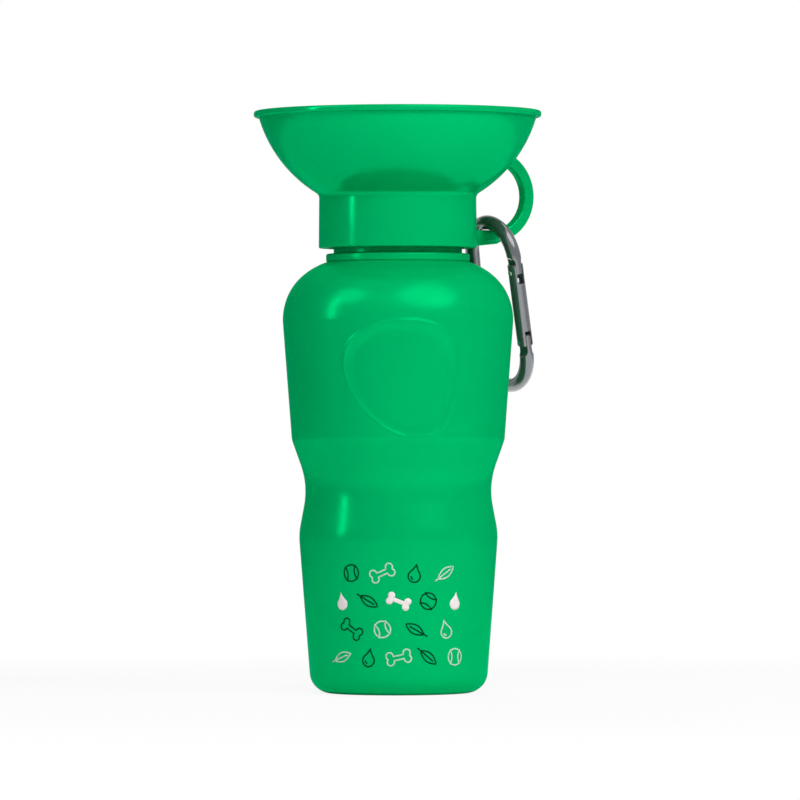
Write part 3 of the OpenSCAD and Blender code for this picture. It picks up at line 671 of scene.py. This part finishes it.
LOOP_TURN = math.radians(28)
LOOP_R, LOOP_T, LOOP_W, LOOP_ROUND = 15.5, 4.6, 4.9, 1.1
LOOP_OUT, LOOP_UP = 10.5, 0.1
ROOT_R, LOOP_END = 28.7, 72.8
SWELL, SWELL_REACH = 0.22, 1.1
ROOT_SUNK, END_SUNK = 1.5, 1.8
LOOP_STEP, LOOP_POINTS = 0.5, 82
loop_c = (COLLAR_R + LOOP_OUT, floor_z + LOOP_UP)
loop_low = loop_c[1] - LOOP_R
outward = Vector((math.cos(LOOP_TURN), math.sin(LOOP_TURN), 0))
sideways = Vector((-math.sin(LOOP_TURN), math.cos(LOOP_TURN), 0))
line = [(x, loop_low, -90.0) for x in np.arange(ROOT_R, loop_c[0], LOOP_STEP)]
ring_angles = np.linspace(-90, LOOP_END, LOOP_POINTS)
line += [(*on_circle(loop_c, LOOP_R, a), float(a)) for a in ring_angles]
length = [0.0]
for p, q in zip(line, line[1:]):
    length.append(length[-1] + math.dist(p[:2], q[:2]))
path = []
for (x, z, a), s in zip(line, length):
    from_root = min(max(0, s - ROOT_SUNK), max(0, length[-1] - END_SUNK - s))
    swell = 1 + SWELL * math.exp(-from_root / SWELL_REACH)
    radial = outward * math.cos(math.radians(a)) + Vector((0, 0, math.sin(math.radians(a))))
    path.append((outward * x + Vector((0, 0, z)), radial, sideways, swell))
loop = sweep("loop_sweep", path, rounded_bar(LOOP_T, LOOP_W, LOOP_ROUND), BOWL_PLASTIC)
print(count(loop), "|", round(length[-1], 1), "mm long")

# %% [markdown]
# Three small things complete the moulding: the two windows in the chimney, which let the water
# out when they meet the windows of the stem, the web under the loop's foot, and the two ribs
# inside the collar that stop the bowl after a quarter of a turn.


# %% Windows, web and stop ribs
WEB_HALF, WEB_EDGE = 1.65, 0.5
WEB_DEEP, WEB_END_DEEP, WEB_PAST = 2.0, 0.6, 1.8
WEB_END, WEB_SUNK = -71, 0.3
WINDOW_Z, WINDOW_W, WINDOW_H, WINDOW_REACH = floor_under + 4.3, 4.0, 3.6, 15
RIB_R = (27.1, 28.4)
RIB_Z = (SNAP_Z + 5.1, SNAP_Z + 14.1)
RIB_STARTS, RIB_WIDTH, RIB_STEPS = (184.5, 77.5), 8, 6


def block(name, lo, hi, mat):
    """A box between two corners."""
    verts = [(x, y, z) for z in (lo[2], hi[2]) for y in (lo[1], hi[1]) for x in (lo[0], hi[0])]
    faces = [(0, 1, 3, 2), (4, 5, 7, 6), (0, 1, 5, 4), (2, 3, 7, 6), (0, 2, 6, 4), (1, 3, 7, 5)]
    return to_object(name, verts, faces, mat)


def stop_rib(name, start):
    """A rib inside the collar, from an angle in degrees over its width."""
    verts = []
    for i in range(RIB_STEPS + 1):
        a = math.radians(start + RIB_WIDTH * i / RIB_STEPS)
        for k, m in ((0, 0), (1, 0), (1, 1), (0, 1)):
            verts.append((RIB_R[k] * math.cos(a), RIB_R[k] * math.sin(a), RIB_Z[m]))
    return to_object(name, verts, tube_faces(RIB_STEPS + 1, 4), BOWL_PLASTIC)


def web():
    """The thin wall under the loop's foot, with its lower edges drawn in."""
    end = on_circle(loop_c, LOOP_R + LOOP_T / 2 - WEB_SUNK, WEB_END)
    past = loop_c[0] + WEB_PAST
    under = loop_low - LOOP_T / 2
    flat = WEB_HALF - WEB_EDGE
    verts = []
    for w, lift in ((-WEB_HALF, WEB_EDGE), (-flat, 0), (flat, 0), (WEB_HALF, WEB_EDGE)):
        edge = [(ROOT_R, loop_low), (ROOT_R, under - WEB_DEEP + lift),
                (past, under - WEB_END_DEEP + lift), (end[0], end[1] + lift), (past, loop_low)]
        verts += [tuple(outward * x + sideways * w + Vector((0, 0, z))) for x, z in edge]
    return to_object("loop_web", verts, tube_faces(4, 5), BOWL_PLASTIC)


combine(bowl, loop, "UNION")
combine(bowl, web(), "UNION")
window = block("window", (-WINDOW_W / 2, -WINDOW_REACH, WINDOW_Z - WINDOW_H / 2),
               (WINDOW_W / 2, WINDOW_REACH, WINDOW_Z + WINDOW_H / 2), BOWL_PLASTIC)
combine(bowl, window, "DIFFERENCE")
for i, start in enumerate(RIB_STARTS):
    combine(bowl, stop_rib(f"stop_rib_{i}", start), "UNION")
smooth(bowl)
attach(bowl, "bowl")
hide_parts("bowl_top")
print(count(bowl))

# %% [markdown]
# ## Cap, seals and dip tube
#
# These pieces sit inside, and the engineering model already has their true shapes, so they keep
# their meshes and only get their finishes. They come into view when the top is lifted off the
# bottle, and the stem's end shows in the middle of the bowl.

# %% Dress the inner parts
CAD_CRISP = 25
DRESS = {
    "screw_cap": CAP_PLASTIC,
    "tube_holder": TUBE_PLASTIC,
    "dip_tube": TUBE_PLASTIC,
    "neck_gasket": GASKET_RUBBER,
    "stem_o_ring_lower": O_RING_RUBBER,
    "stem_o_ring_upper": O_RING_RUBBER,
    "gate_rivet": PIN_STEEL,
    "gate_plunger": PIN_STEEL,
    "nose_pin": PIN_STEEL,
}
for part, mat in DRESS.items():
    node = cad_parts[part]
    node.data.materials.clear()
    node.data.materials.append(mat)
    smooth(node, CAD_CRISP)
print("dressed:", ", ".join(DRESS))

# %% [markdown]
# ## Where the clip hangs
#
# The clip is drawn flat, in its own plane, with x from the spine to the gate and y up. One
# matrix then hangs it on the loop: it rolls the clip a little in its plane, leans it away from
# the shoulder and turns it to the front. Its origin is the top of the bend, which rests on the
# loop's straight foot. The gate is drawn along a line of its own, slanted a few degrees, and a
# second matrix carries that line to its place.

# %% The clip's own plane
CLIP_L, ROD_R, GATE_R = 70.4, 2.75, 3.0
BEND_R = 13.6
GATE_TOP, NOSE_GAP = 1.4, 2.6
HANG_OUT, HANG_GAP = 8.4, 0.3
SLANT, ROLL, LEAN, TURN = (math.radians(a) for a in (4.4, 11.4, 13.78125, 56.0))
mid_l = CLIP_L - 2 * ROD_R
gate_way = Vector((math.sin(SLANT), -math.cos(SLANT)))
gate_side = Vector((math.cos(SLANT), math.sin(SLANT)))
bend_end = Vector((BEND_R + BEND_R * math.cos(SLANT), -BEND_R + BEND_R * math.sin(SLANT)))
HOOK_R = (bend_end.dot(gate_side) + mid_l * gate_side.y) / (1 + gate_side.x + gate_side.y)
hook_c = Vector((HOOK_R, HOOK_R - mid_l))
line_l = (hook_c + gate_side * HOOK_R - bend_end).length
GATE_L = line_l - GATE_TOP - NOSE_GAP
hang_z = loop_low + LOOP_T / 2 + ROD_R + HANG_GAP
hang_point = outward * (COLLAR_R + HANG_OUT) + Vector((0, 0, hang_z))
hang_local = Vector((BEND_R - BEND_R * math.sin(ROLL), -BEND_R + BEND_R * math.cos(ROLL), 0))
HANG = (
    Matrix.Translation(hang_point)
    @ Matrix.Rotation(-TURN, 4, "Z")
    @ Matrix.Rotation(math.pi / 2, 4, "X")
    @ Matrix.Rotation(LEAN, 4, "X")
    @ Matrix.Rotation(-ROLL, 4, "Z")
    @ Matrix.Translation(-hang_local)
)
ALONG_GATE = HANG @ Matrix.Translation((*bend_end, 0)) @ Matrix.Rotation(math.pi + SLANT, 4, "Z")
GATE_LINE = HANG.inverted() @ ALONG_GATE


def placed(obj, matrix):
    """Moves a piece drawn in millimetres for good: its place goes into its mesh."""
    obj.data.transform(Matrix.Scale(MM, 4) @ matrix @ Matrix.Scale(1 / MM, 4))
    obj.data.update()
    return obj


print(f"hook radius {HOOK_R:.2f} mm, gate {GATE_L:.2f} mm long")

# %% [markdown]
# ## The clip's rod
#
# The rod is one bent wire: over the bend, down the spine and round the hook. At both ends its
# sides are milled flat, so that a thin tang and a thin tongue are left for the gate to fork
# over, and the cutter leaves a curved run-out in the rod. So the rod is swept at full
# thickness first, and then two cutters with a round end take its sides off.


# %% Bend the rod
TANG_T, TANG_RUN, TANG_START = 2.6, 2.6, 0.9
TONGUE_T, TONGUE_RUN, TONGUE_L, TONGUE_START = 2.0, 2.8, 7.2, 1.0
BEYOND, CUT_HALF, CUT_DEEP = 2, 5, 4
ROD_STEP, ROD_END = 0.5, 0.8
BEND_STEP, SPINE_POINTS, HOOK_POINTS = 3, 10, 62
RIVET_AT = GATE_TOP + 3.2
tang_l = RIVET_AT + 1.0


def circle(r, n=36):
    """A round section of n points."""
    return [(r * math.cos(math.tau * i / n), r * math.sin(math.tau * i / n)) for i in range(n)]


def bend(centre, r, degrees):
    """Points round a centre, each with the way that looks away from it."""
    ways = [Vector((math.cos(a), math.sin(a))) for a in np.radians(degrees)]
    return [(centre + way * r, way) for way in ways]


rod = [(bend_end + gate_way * s, gate_side) for s in np.arange(tang_l, 0, -ROD_STEP)]
over = np.arange(math.degrees(SLANT), 180.01, BEND_STEP)
rod += bend(Vector((BEND_R, -BEND_R)), BEND_R, over)
spine = np.linspace(-BEND_R - 1, -mid_l + HOOK_R + 1, SPINE_POINTS)
rod += [(Vector((0, y)), Vector((-1, 0))) for y in spine]
rod += bend(hook_c, HOOK_R, np.linspace(180, 360 + math.degrees(SLANT), HOOK_POINTS))
nose = bend_end + gate_way * line_l
tongue = np.arange(ROD_STEP, TONGUE_L + 0.01, ROD_STEP)
rod += [(nose - gate_way * s, gate_side) for s in tongue]
ahead = Vector((0, 0, 1))
rod_path = [(p.to_3d(), u.to_3d(), ahead, 1.0) for p, u in rod]
for end in (0, -1):
    rod_path[end] = (*rod_path[end][:3], ROD_END)
clip_rod = sweep("clip_rod", rod_path, circle(ROD_R), CLIP_METAL)


def cutter(name, start, end, half, runout, up):
    """A flat-milling cut on one side of the rod, along the gate's line; its run-out is at end."""
    way = 1 if end > start else -1
    edge = [(start, half), (end, half)]
    for t in np.radians(range(10, 91, 10)):
        edge.append((end + way * runout * math.sin(t), half + runout * (1 - math.cos(t))))
    edge += [(end + way * runout, half + CUT_DEEP), (start, half + CUT_DEEP)]
    verts = [(x, y, z * up) for x in (-CUT_HALF, CUT_HALF) for y, z in edge]
    return placed(to_object(name, verts, tube_faces(2, len(edge)), CLIP_METAL), GATE_LINE)


CUTS = {
    "tang_cut": (tang_l + BEYOND, TANG_START, TANG_T / 2, TANG_RUN),
    "tongue_cut": (line_l - TONGUE_L - BEYOND, line_l - TONGUE_START, TONGUE_T / 2, TONGUE_RUN),
}
for up in (1, -1):
    for name, cut in CUTS.items():
        combine(clip_rod, cutter(name, *cut, up), "DIFFERENCE")
print(count(clip_rod))

# %% [markdown]
# The tang gets a hole near its end for the rivet that the gate turns on. The tongue gets a
# notch, open to the inside of the clip, that the gate's cross pin drops into. Both cutters are
# drawn along the gate's line too.


# %% Finish the rod's ends
MACHINED_CRISP = 35
RIVET_HOLE, PIN_NOTCH, NOTCH_OUT = 1.02, 1.1, 5.0
PIN_AT = GATE_TOP + GATE_L - 1.6


def drill(name, at, r, slot_to=None, matrix=Matrix.Identity(4)):
    """A round cutter across the gate's line, or a slot from its middle to slot_to."""
    pts = circle(r, 32)
    if slot_to is not None:
        pts = arc((0, 0), r, 90, 270, 12) + [(slot_to, -r), (slot_to, r)]
    verts = [(x, at + y, z) for z in (-CUT_DEEP, CUT_DEEP) for x, y in pts]
    return placed(to_object(name, verts, tube_faces(2, len(pts)), CLIP_METAL), matrix)


rivet_hole = drill("rivet_hole", RIVET_AT, RIVET_HOLE, matrix=GATE_LINE)
combine(clip_rod, rivet_hole, "DIFFERENCE")
pin_notch = drill("pin_notch", PIN_AT, PIN_NOTCH, NOTCH_OUT, GATE_LINE)
combine(clip_rod, pin_notch, "DIFFERENCE")
placed(clip_rod, HANG)
smooth(clip_rod, MACHINED_CRISP)
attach(clip_rod, "clip")
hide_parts("carabiner_body")
print(count(clip_rod))

# %% [markdown]
# ## The gate
#
# The gate is a turned bar, a little thicker than the rod, with a fork cut in each end. The upper
# fork is deep and takes the tang, the rivet and, at its bottom, the bore for the spring; the
# lower one slips over the tongue and carries the cross pin. It starts as a turned bar with
# bevelled ends, and slots and holes are cut out of it.

# %% Turn and cut the gate
SLOT_L, SLOT_GAP = 7.6, 0.2
NOSE_SLOT_GAP, NOSE_SLOT_PAST = 0.35, 1.3
SLOT_HALF, GATE_ROWS = 6, 24
SPRING_BORE, SPRING_BORE_L = 1.2, 12
RIVET_BORE, PIN_BORE = 1.05, 0.82


def lying(y):
    """Lays a turned piece along the gate, with its foot at y."""
    return Matrix.Translation((0, y, 0)) @ Matrix.Rotation(-math.pi / 2, 4, "X")


bevel = [(0, 0), (GATE_R - 0.5, 0), (GATE_R - 0.15, 0.12), (GATE_R, 0.5)]
bar_rows = bevel + [(GATE_R, y) for y in np.linspace(1.5, GATE_L - 1.5, GATE_ROWS)]
bar_rows += [(r, GATE_L - y) for r, y in reversed(bevel)]
gate = placed(spin("clip_gate", bar_rows, CLIP_METAL, angles=48), lying(GATE_TOP))
gate_end = GATE_TOP + GATE_L
slot_end = GATE_TOP + SLOT_L
nose_slot_l = gate_end - (line_l - TONGUE_L) + NOSE_SLOT_PAST
half_slot = TANG_T / 2 + SLOT_GAP
half_nose = TONGUE_T / 2 + NOSE_SLOT_GAP
bore_rows = [(0, 0), (SPRING_BORE, 0), (SPRING_BORE, SPRING_BORE_L), (0, SPRING_BORE_L)]
gate_cuts = [
    block("fork", (-SLOT_HALF, GATE_TOP - 1, -half_slot), (SLOT_HALF, slot_end, half_slot),
          CLIP_METAL),
    block("nose_fork", (-SLOT_HALF, gate_end - nose_slot_l, -half_nose),
          (SLOT_HALF, gate_end + 1, half_nose), CLIP_METAL),
    placed(spin("bore", bore_rows, CLIP_METAL, angles=32), lying(slot_end - 1)),
    drill("rivet_bore", RIVET_AT, RIVET_BORE),
    drill("pin_bore", PIN_AT, PIN_BORE),
]
for cut in gate_cuts:
    combine(gate, cut, "DIFFERENCE")
placed(gate, ALONG_GATE)
smooth(gate, MACHINED_CRISP)
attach(gate, "gate")
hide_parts("carabiner_gate")
print(count(gate))

# %% [markdown]
# ## The gate's spring
#
# In the bore sits a coil spring that pushes the small plunger against the tang and so closes the
# gate. The frame holds only its sleeve-shaped room; here it becomes a real coil, a round wire
# carried along a helix, with closed end turns.

# %% Wind the spring
TANG_EYE, PLUNGER_GAP, PLUNGER_L = 1.9, 0.3, 4.0
SPRING_TOP = RIVET_AT + TANG_EYE + PLUNGER_GAP + PLUNGER_L
SPRING_END = slot_end + 11.0
WIRE_R, COIL_R, COILS, COIL_STEPS = 0.19, 0.93, 11, 24
CLOSED_ENDS = 0.035
spring_l = SPRING_END - SPRING_TOP - 2 * WIRE_R
steps = COILS * COIL_STEPS
wire = circle(WIRE_R, 8)
verts = []
for i in range(steps + 1):
    a = math.tau * COILS * i / steps
    t = i / steps
    y = SPRING_TOP + WIRE_R + spring_l * (t + CLOSED_ENDS * math.sin(math.tau * t))
    out = Vector((math.cos(a), 0, math.sin(a)))
    verts += [tuple(out * (COIL_R + x) + Vector((0, y + up, 0))) for x, up in wire]
spring = to_object("spring_coil", verts, tube_faces(steps + 1, len(wire)), PIN_STEEL)
placed(spring, ALONG_GATE)
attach(spring, "gate")
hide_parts("gate_spring")
print(count(spring))

# %% [markdown]
# ## The print
#
# The lower front carries a small screen print. Ink is a thin film that follows the surface, so
# each motif is drawn flat, cut into small triangles and wrapped round the bottle. Solid shapes
# are filled outlines; line drawings are ribbons with an even width. The motifs are plain ones:
# bones, balls, drops and leaves in loose rows.


# %% Helpers for the print
FILM, INK_LIFT, FILM_CRISP = 0.05, 0.02, 60
FILL_STEP, FILL_MARGIN = 1.0, 0.3
FAR = 1e9
side_rows = [p for p in outside if p[0] > STAND_R + 2]


def bottle_r(z):
    """The bottle's outer radius at a height, from its outline."""
    for (r0, z0), (r1, z1) in zip(side_rows, side_rows[1:]):
        if z0 <= z <= z1 and z1 > z0:
            return r0 + (r1 - r0) * (z - z0) / (z1 - z0)
    return side_rows[-1][0]


def wrap(u, z):
    """A point of the flat print on the bottle: u runs round the front, z is the height."""
    r = bottle_r(z)
    a = -math.pi / 2 + u / r
    return ((r + INK_LIFT) * math.cos(a), (r + INK_LIFT) * math.sin(a), z)


def within(p, shape, margin):
    """Whether p is inside the shape and at least margin away from its line."""
    hit = False
    near = FAR
    for (x0, y0), (x1, y1) in zip(shape, shape[1:] + shape[:1]):
        if (y0 > p[1]) != (y1 > p[1]) and p[0] < (x1 - x0) * (p[1] - y0) / (y1 - y0) + x0:
            hit = not hit
        d = Vector((x1 - x0, y1 - y0))
        t = max(0, min(1, (Vector(p) - Vector((x0, y0))).dot(d) / max(d.length_squared, 1e-12)))
        near = min(near, (Vector(p) - Vector((x0, y0)) - d * t).length)
    return hit and near > margin


def fill(shape):
    """Points and triangles that fill a closed shape, small enough to bend round the bottle."""
    xs, ys = zip(*shape)
    across = np.arange(min(xs), max(xs), FILL_STEP)
    upward = np.arange(min(ys), max(ys), FILL_STEP)
    grid = [(x, y) for x in across for y in upward]
    pts = [Vector(p) for p in shape]
    pts += [Vector(p) for p in grid if within(p, shape, FILL_MARGIN)]
    done = delaunay_2d_cdt(pts, [], [list(range(len(shape)))], 1, 1e-5)
    return [tuple(v) for v in done[0]], [tuple(f) for f in done[2]]


def ribbon(line, width, loop=False):
    """An even-width stroke along a line of points, as points and four-sided faces."""
    n = len(line)
    pts, faces = [], []
    for i, p in enumerate(line):
        a = line[i - 1] if (i > 0 or loop) else p
        b = line[(i + 1) % n] if (i < n - 1 or loop) else p
        d = Vector((b[0] - a[0], b[1] - a[1])).normalized()
        side_way = Vector((-d.y, d.x)) * width / 2
        pts += [(p[0] + side_way.x, p[1] + side_way.y), (p[0] - side_way.x, p[1] - side_way.y)]
    for i in range(n if loop else n - 1):
        j = (i + 1) % n
        faces.append((2 * i, 2 * i + 1, 2 * j + 1, 2 * j))
    return pts, faces


print(f"the bottle's radius is {bottle_r(30):.1f} mm in the middle of the print")


# %% [markdown]
# Each motif is a function that gives its lines round its own middle. A motif is then turned,
# moved to its place in the rows and given to one of the three inks.


# %% Draw the motifs
BALL_R = 3.1


def bone(length=6.6, knob=1.35, apart=1.15):
    """A bone: a bar with two round knobs at each end."""
    top_right = arc((length / 2, apart), knob, -48, 196, 14)
    top_left = [(-x, y) for x, y in reversed(top_right)]
    low = [(-x, -y) for x, y in top_right + top_left]
    return top_right + top_left + low


def drop(height=7.0, r=2.3):
    """A water drop, pointed at the top."""
    body = arc((0, -height / 2 + r), r, 150, 390, 15)
    (x, y), top = body[-1], height / 2
    right = [(x * (1 - t) ** 1.5, y + (top - y) * t) for t in (0.25, 0.5, 0.75)]
    left = [(-x, y) for x, y in reversed(right)]
    return body + right + [(0, top)] + left


def leaf(length=8.0, width=3.4):
    """A leaf, pointed at both ends."""
    along = np.linspace(0, 1, 15)
    top = [(length * (t - 0.5), width / 2 * math.sin(math.pi * t) ** 0.9) for t in along]
    return top + [(x, -y) for x, y in reversed(top[1:-1])]


def ball_seam(hand):
    """One of the two curved seams of a ball; hand is 1 or -1."""
    bow = arc((0, 0), 1.45 * BALL_R, -38, 38, 8)
    return [(hand * (1.9 * BALL_R - x), y) for x, y in bow]


def motif(kind):
    """Lines and fills of a motif: (points, closed, filled)."""
    if kind == "bone":
        return [(bone(), True, True)]
    if kind == "bone_line":
        return [(bone(), True, False)]
    if kind == "drop":
        return [(drop(), True, True)]
    if kind == "drop_line":
        return [(drop(), True, False), (arc((0, -1.2), 1.2, 190, 260, 12), False, False)]
    if kind == "leaf_line":
        return [(leaf(), True, False), ([(x, 0) for x in np.linspace(-5.6, 2.4, 9)], False, False)]
    ring = arc((0, 0), BALL_R, 0, 352, 8)
    return [(ring, True, False), (ball_seam(1), False, False), (ball_seam(-1), False, False)]


print("a bone has", len(bone()), "points, a drop", len(drop()), "and a leaf", len(leaf()))


# %% [markdown]
# The rows are staggered like bricks. White marks the few solid shapes, and the fine lines are
# pale or dark green in turn, so the print reads as light and airy from a distance.

# %% Lay out and print
PRINT_Z, ROW_STEP, COLUMN_STEP, FIVE_ABREAST = 30.5, 10.6, 12.4, 0.92
STROKE = 0.55
LAYOUT = [
    [("ball", "dark", 10), ("bone_line", "pale", 24), ("drop_line", "dark", -12),
     ("leaf_line", "pale", 35)],
    [("drop", "white", 8), ("leaf_line", "dark", -30), ("bone", "white", -22),
     ("ball", "dark", 60), ("drop", "white", -8)],
    [("bone_line", "dark", -35), ("ball", "pale", 20), ("leaf_line", "dark", 150),
     ("drop_line", "pale", 14)],
    [("leaf_line", "pale", 20), ("drop_line", "dark", -10), ("bone_line", "pale", 12),
     ("leaf_line", "dark", -40), ("ball", "pale", 0)],
]
INKS = {"white": INK_WHITE, "pale": INK_PALE, "dark": INK_DARK}
films = {ink: ([], []) for ink in INKS}
for row, kinds in enumerate(LAYOUT):
    step = COLUMN_STEP if len(kinds) == 4 else COLUMN_STEP * FIVE_ABREAST
    cz = PRINT_Z + (1.5 - row) * ROW_STEP
    for col, (kind, ink, turn) in enumerate(kinds):
        cu = (col - (len(kinds) - 1) / 2) * step
        ca, sa = math.cos(math.radians(turn)), math.sin(math.radians(turn))
        for pts, closed, filled in motif(kind):
            flat, tris = fill(pts) if filled else ribbon(pts, STROKE, closed)
            verts, faces = films[ink]
            base = len(verts)
            verts += [(cu + x * ca - y * sa, cz + x * sa + y * ca) for x, y in flat]
            faces += [tuple(base + i for i in f) for f in tris]
for ink, (flat, faces) in films.items():
    wrapped = [wrap(u, z) for u, z in flat]
    film = to_object(f"print_{ink}", wrapped, faces, INKS[ink], FILM_CRISP)
    bm = bmesh.new()
    bm.from_mesh(film.data)
    for face in bm.faces:
        if face.normal.y > 0:
            face.normal_flip()
    bm.to_mesh(film.data)
    bm.free()
    apply_modifier(film, "SOLIDIFY", thickness=FILM * MM, offset=1.0)
    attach(film, "bottle")
    print(count(film))

# %% [markdown]
# ## Floor and light
#
# The photograph is a plain cut-out on white, softly lit from all round. The floor is a large
# pale disc. What the camera, a reflection or a clear piece sees of floor and sky is white, while
# the light that they give is kept lower, so that the plastic keeps its colour.


# %% White surroundings
WORLD_LIGHT = 0.2


def math_node(nodes, links, how, a, b):
    """Joins two outputs in a Math node."""
    node = nodes.new("ShaderNodeMath")
    node.operation = how
    links.new(a, node.inputs[0])
    links.new(b, node.inputs[1])
    return node.outputs[0]


def when_seen(nodes, links):
    """One for camera, glossy and transmission rays, and nothing for light on the bottle."""
    ray = nodes.new("ShaderNodeLightPath").outputs
    more = math_node(nodes, links, "MAXIMUM", ray["Is Glossy Ray"], ray["Is Transmission Ray"])
    return math_node(nodes, links, "MAXIMUM", ray["Is Camera Ray"], more)


def mix_shaders(nodes, links, factor, a, b, target):
    """Shows a, or b where the factor is one."""
    node = nodes.new("ShaderNodeMixShader")
    for source, socket in zip((factor, a, b), node.inputs):
        links.new(source, socket)
    links.new(node.outputs[0], target)


world = bpy.data.worlds.new("white_room")
bpy.context.scene.world = world
world.use_nodes = True
wn, wl = world.node_tree.nodes, world.node_tree.links
lit, plain = wn["Background"], wn.new("ShaderNodeBackground")
for sky, strength in ((lit, WORLD_LIGHT), (plain, 1.0)):
    sky.inputs["Color"].default_value = (1, 1, 1, 1)
    sky.inputs["Strength"].default_value = strength
mix_shaders(wn, wl, when_seen(wn, wl), lit.outputs[0], plain.outputs[0],
            wn["World Output"].inputs["Surface"])
print("the room is white and gives", WORLD_LIGHT, "of its light")

# %% [markdown]
# The floor has to look white and still hold the bottle's shadow. Where it is seen, most of its
# brightness is its own, a plain white, and the rest comes from the lamps, so the shadow stays.
# Further out the white takes over altogether, and the floor melts into the room without a
# horizon. For the light that falls on the bottle it is an ordinary pale floor.

# %% The floor
NEAR_WHITE, SHADOW_REACH, FADE_OUT = 0.9, 0.18, 0.5
FLOOR_GREY = 0.84
FLOOR_ROWS = [(0, 0), (400, 0), (1500, 0), (3200, 0)]
floor_mat = bpy.data.materials.new("pale_floor")
floor_mat.use_nodes = True
fn, fl = floor_mat.node_tree.nodes, floor_mat.node_tree.links
floor_shader = fn["Principled BSDF"]
floor_shader.inputs["Base Color"].default_value = (FLOOR_GREY, FLOOR_GREY, FLOOR_GREY, 1)
floor_shader.inputs["Roughness"].default_value = 0.9
floor_shader.inputs["Specular IOR Level"].default_value = 0.1
glow = fn.new("ShaderNodeEmission")
spot = fn.new("ShaderNodeTexCoord")
from_middle = fn.new("ShaderNodeVectorMath")
from_middle.operation = "LENGTH"
fl.new(spot.outputs["Object"], from_middle.inputs[0])
fade = fn.new("ShaderNodeMapRange")
fade.interpolation_type = "SMOOTHSTEP"
fade.inputs["From Min"].default_value = SHADOW_REACH
fade.inputs["From Max"].default_value = FADE_OUT
fade.inputs["To Min"].default_value = NEAR_WHITE
fl.new(from_middle.outputs["Value"], fade.inputs["Value"])
how_white = math_node(fn, fl, "MULTIPLY", when_seen(fn, fl), fade.outputs["Result"])
mix_shaders(fn, fl, how_white, floor_shader.outputs[0], glow.outputs[0],
            fn["Material Output"].inputs["Surface"])
floor = spin("floor", FLOOR_ROWS, floor_mat, angles=64)
floor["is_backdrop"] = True
print(count(floor))


# %% [markdown]
# The lamps are area lamps: the bigger one is, the softer its light. Three of them light the
# bottle, from the front, the right and behind, and show in no reflection. The others do the
# opposite: they give no light and are only seen in the gloss. A tall, narrow one on the left is
# the thin bright line on the collar and the waist, two round ones are the soft highlights on the
# shoulder, one overhead brightens all that faces up, and a disc on the table shows in the
# bowl's underside.


# %% The lamps
def lamp(name, only, at, aim_z, width, height, watts, shape="RECTANGLE"):
    """An area lamp that looks at a height on the axis and gives only light, or only gloss."""
    data = bpy.data.lights.new(name, "AREA")
    data.shape = shape
    data.size, data.size_y = width, height
    data.energy = watts
    obj = bpy.data.objects.new(name, data)
    bpy.context.scene.collection.objects.link(obj)
    obj.visible_camera = False
    obj.visible_diffuse = only == "light"
    obj.visible_glossy = only == "gloss"
    obj.matrix_world = look(Vector(at), Vector((0, 0, aim_z)))


lamp("tall_left", "gloss", (-1.15, -0.42, 0.50), 0.15, 0.10, 0.72, 4.6)
lamp("broad_right", "light", (0.85, -0.80, 0.80), 0.12, 0.45, 0.45, 8.0)
lamp("front", "light", (-0.05, -1.3, 1.15), 0.12, 1.0, 0.6, 11.4)
lamp("back_fill", "light", (-0.35, 1.35, 1.0), 0.12, 1.0, 0.8, 8.0)
lamp("shoulder_right", "gloss", (0.58, -0.79, 1.03), 0.15, 1.35, 1.05, 12.5, "ELLIPSE")
lamp("shoulder_left", "gloss", (-0.87, -0.54, 0.98), 0.15, 0.75, 0.6, 5.0, "ELLIPSE")
lamp("overhead", "gloss", (0.0, 0.1, 1.5), 0.15, 1.4, 1.0, 8.0)
lamp("bright_table", "gloss", (0.0, 0.0, 0.001), 1.0, 1.3, 1.3, 6.0, "ELLIPSE")
print(len(bpy.data.lights), "lamps and a white room")

# %% [markdown]
# ## Last measures
#
# Both boxes are printed: the skins must not be bigger than the model that they stand for.

# %% Measure and finish
visual_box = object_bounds()
for name, (lo, hi) in (("model", cad_box), ("skins", visual_box)):
    print(name, [round(v / MM, 2) for v in (*lo, *hi)])
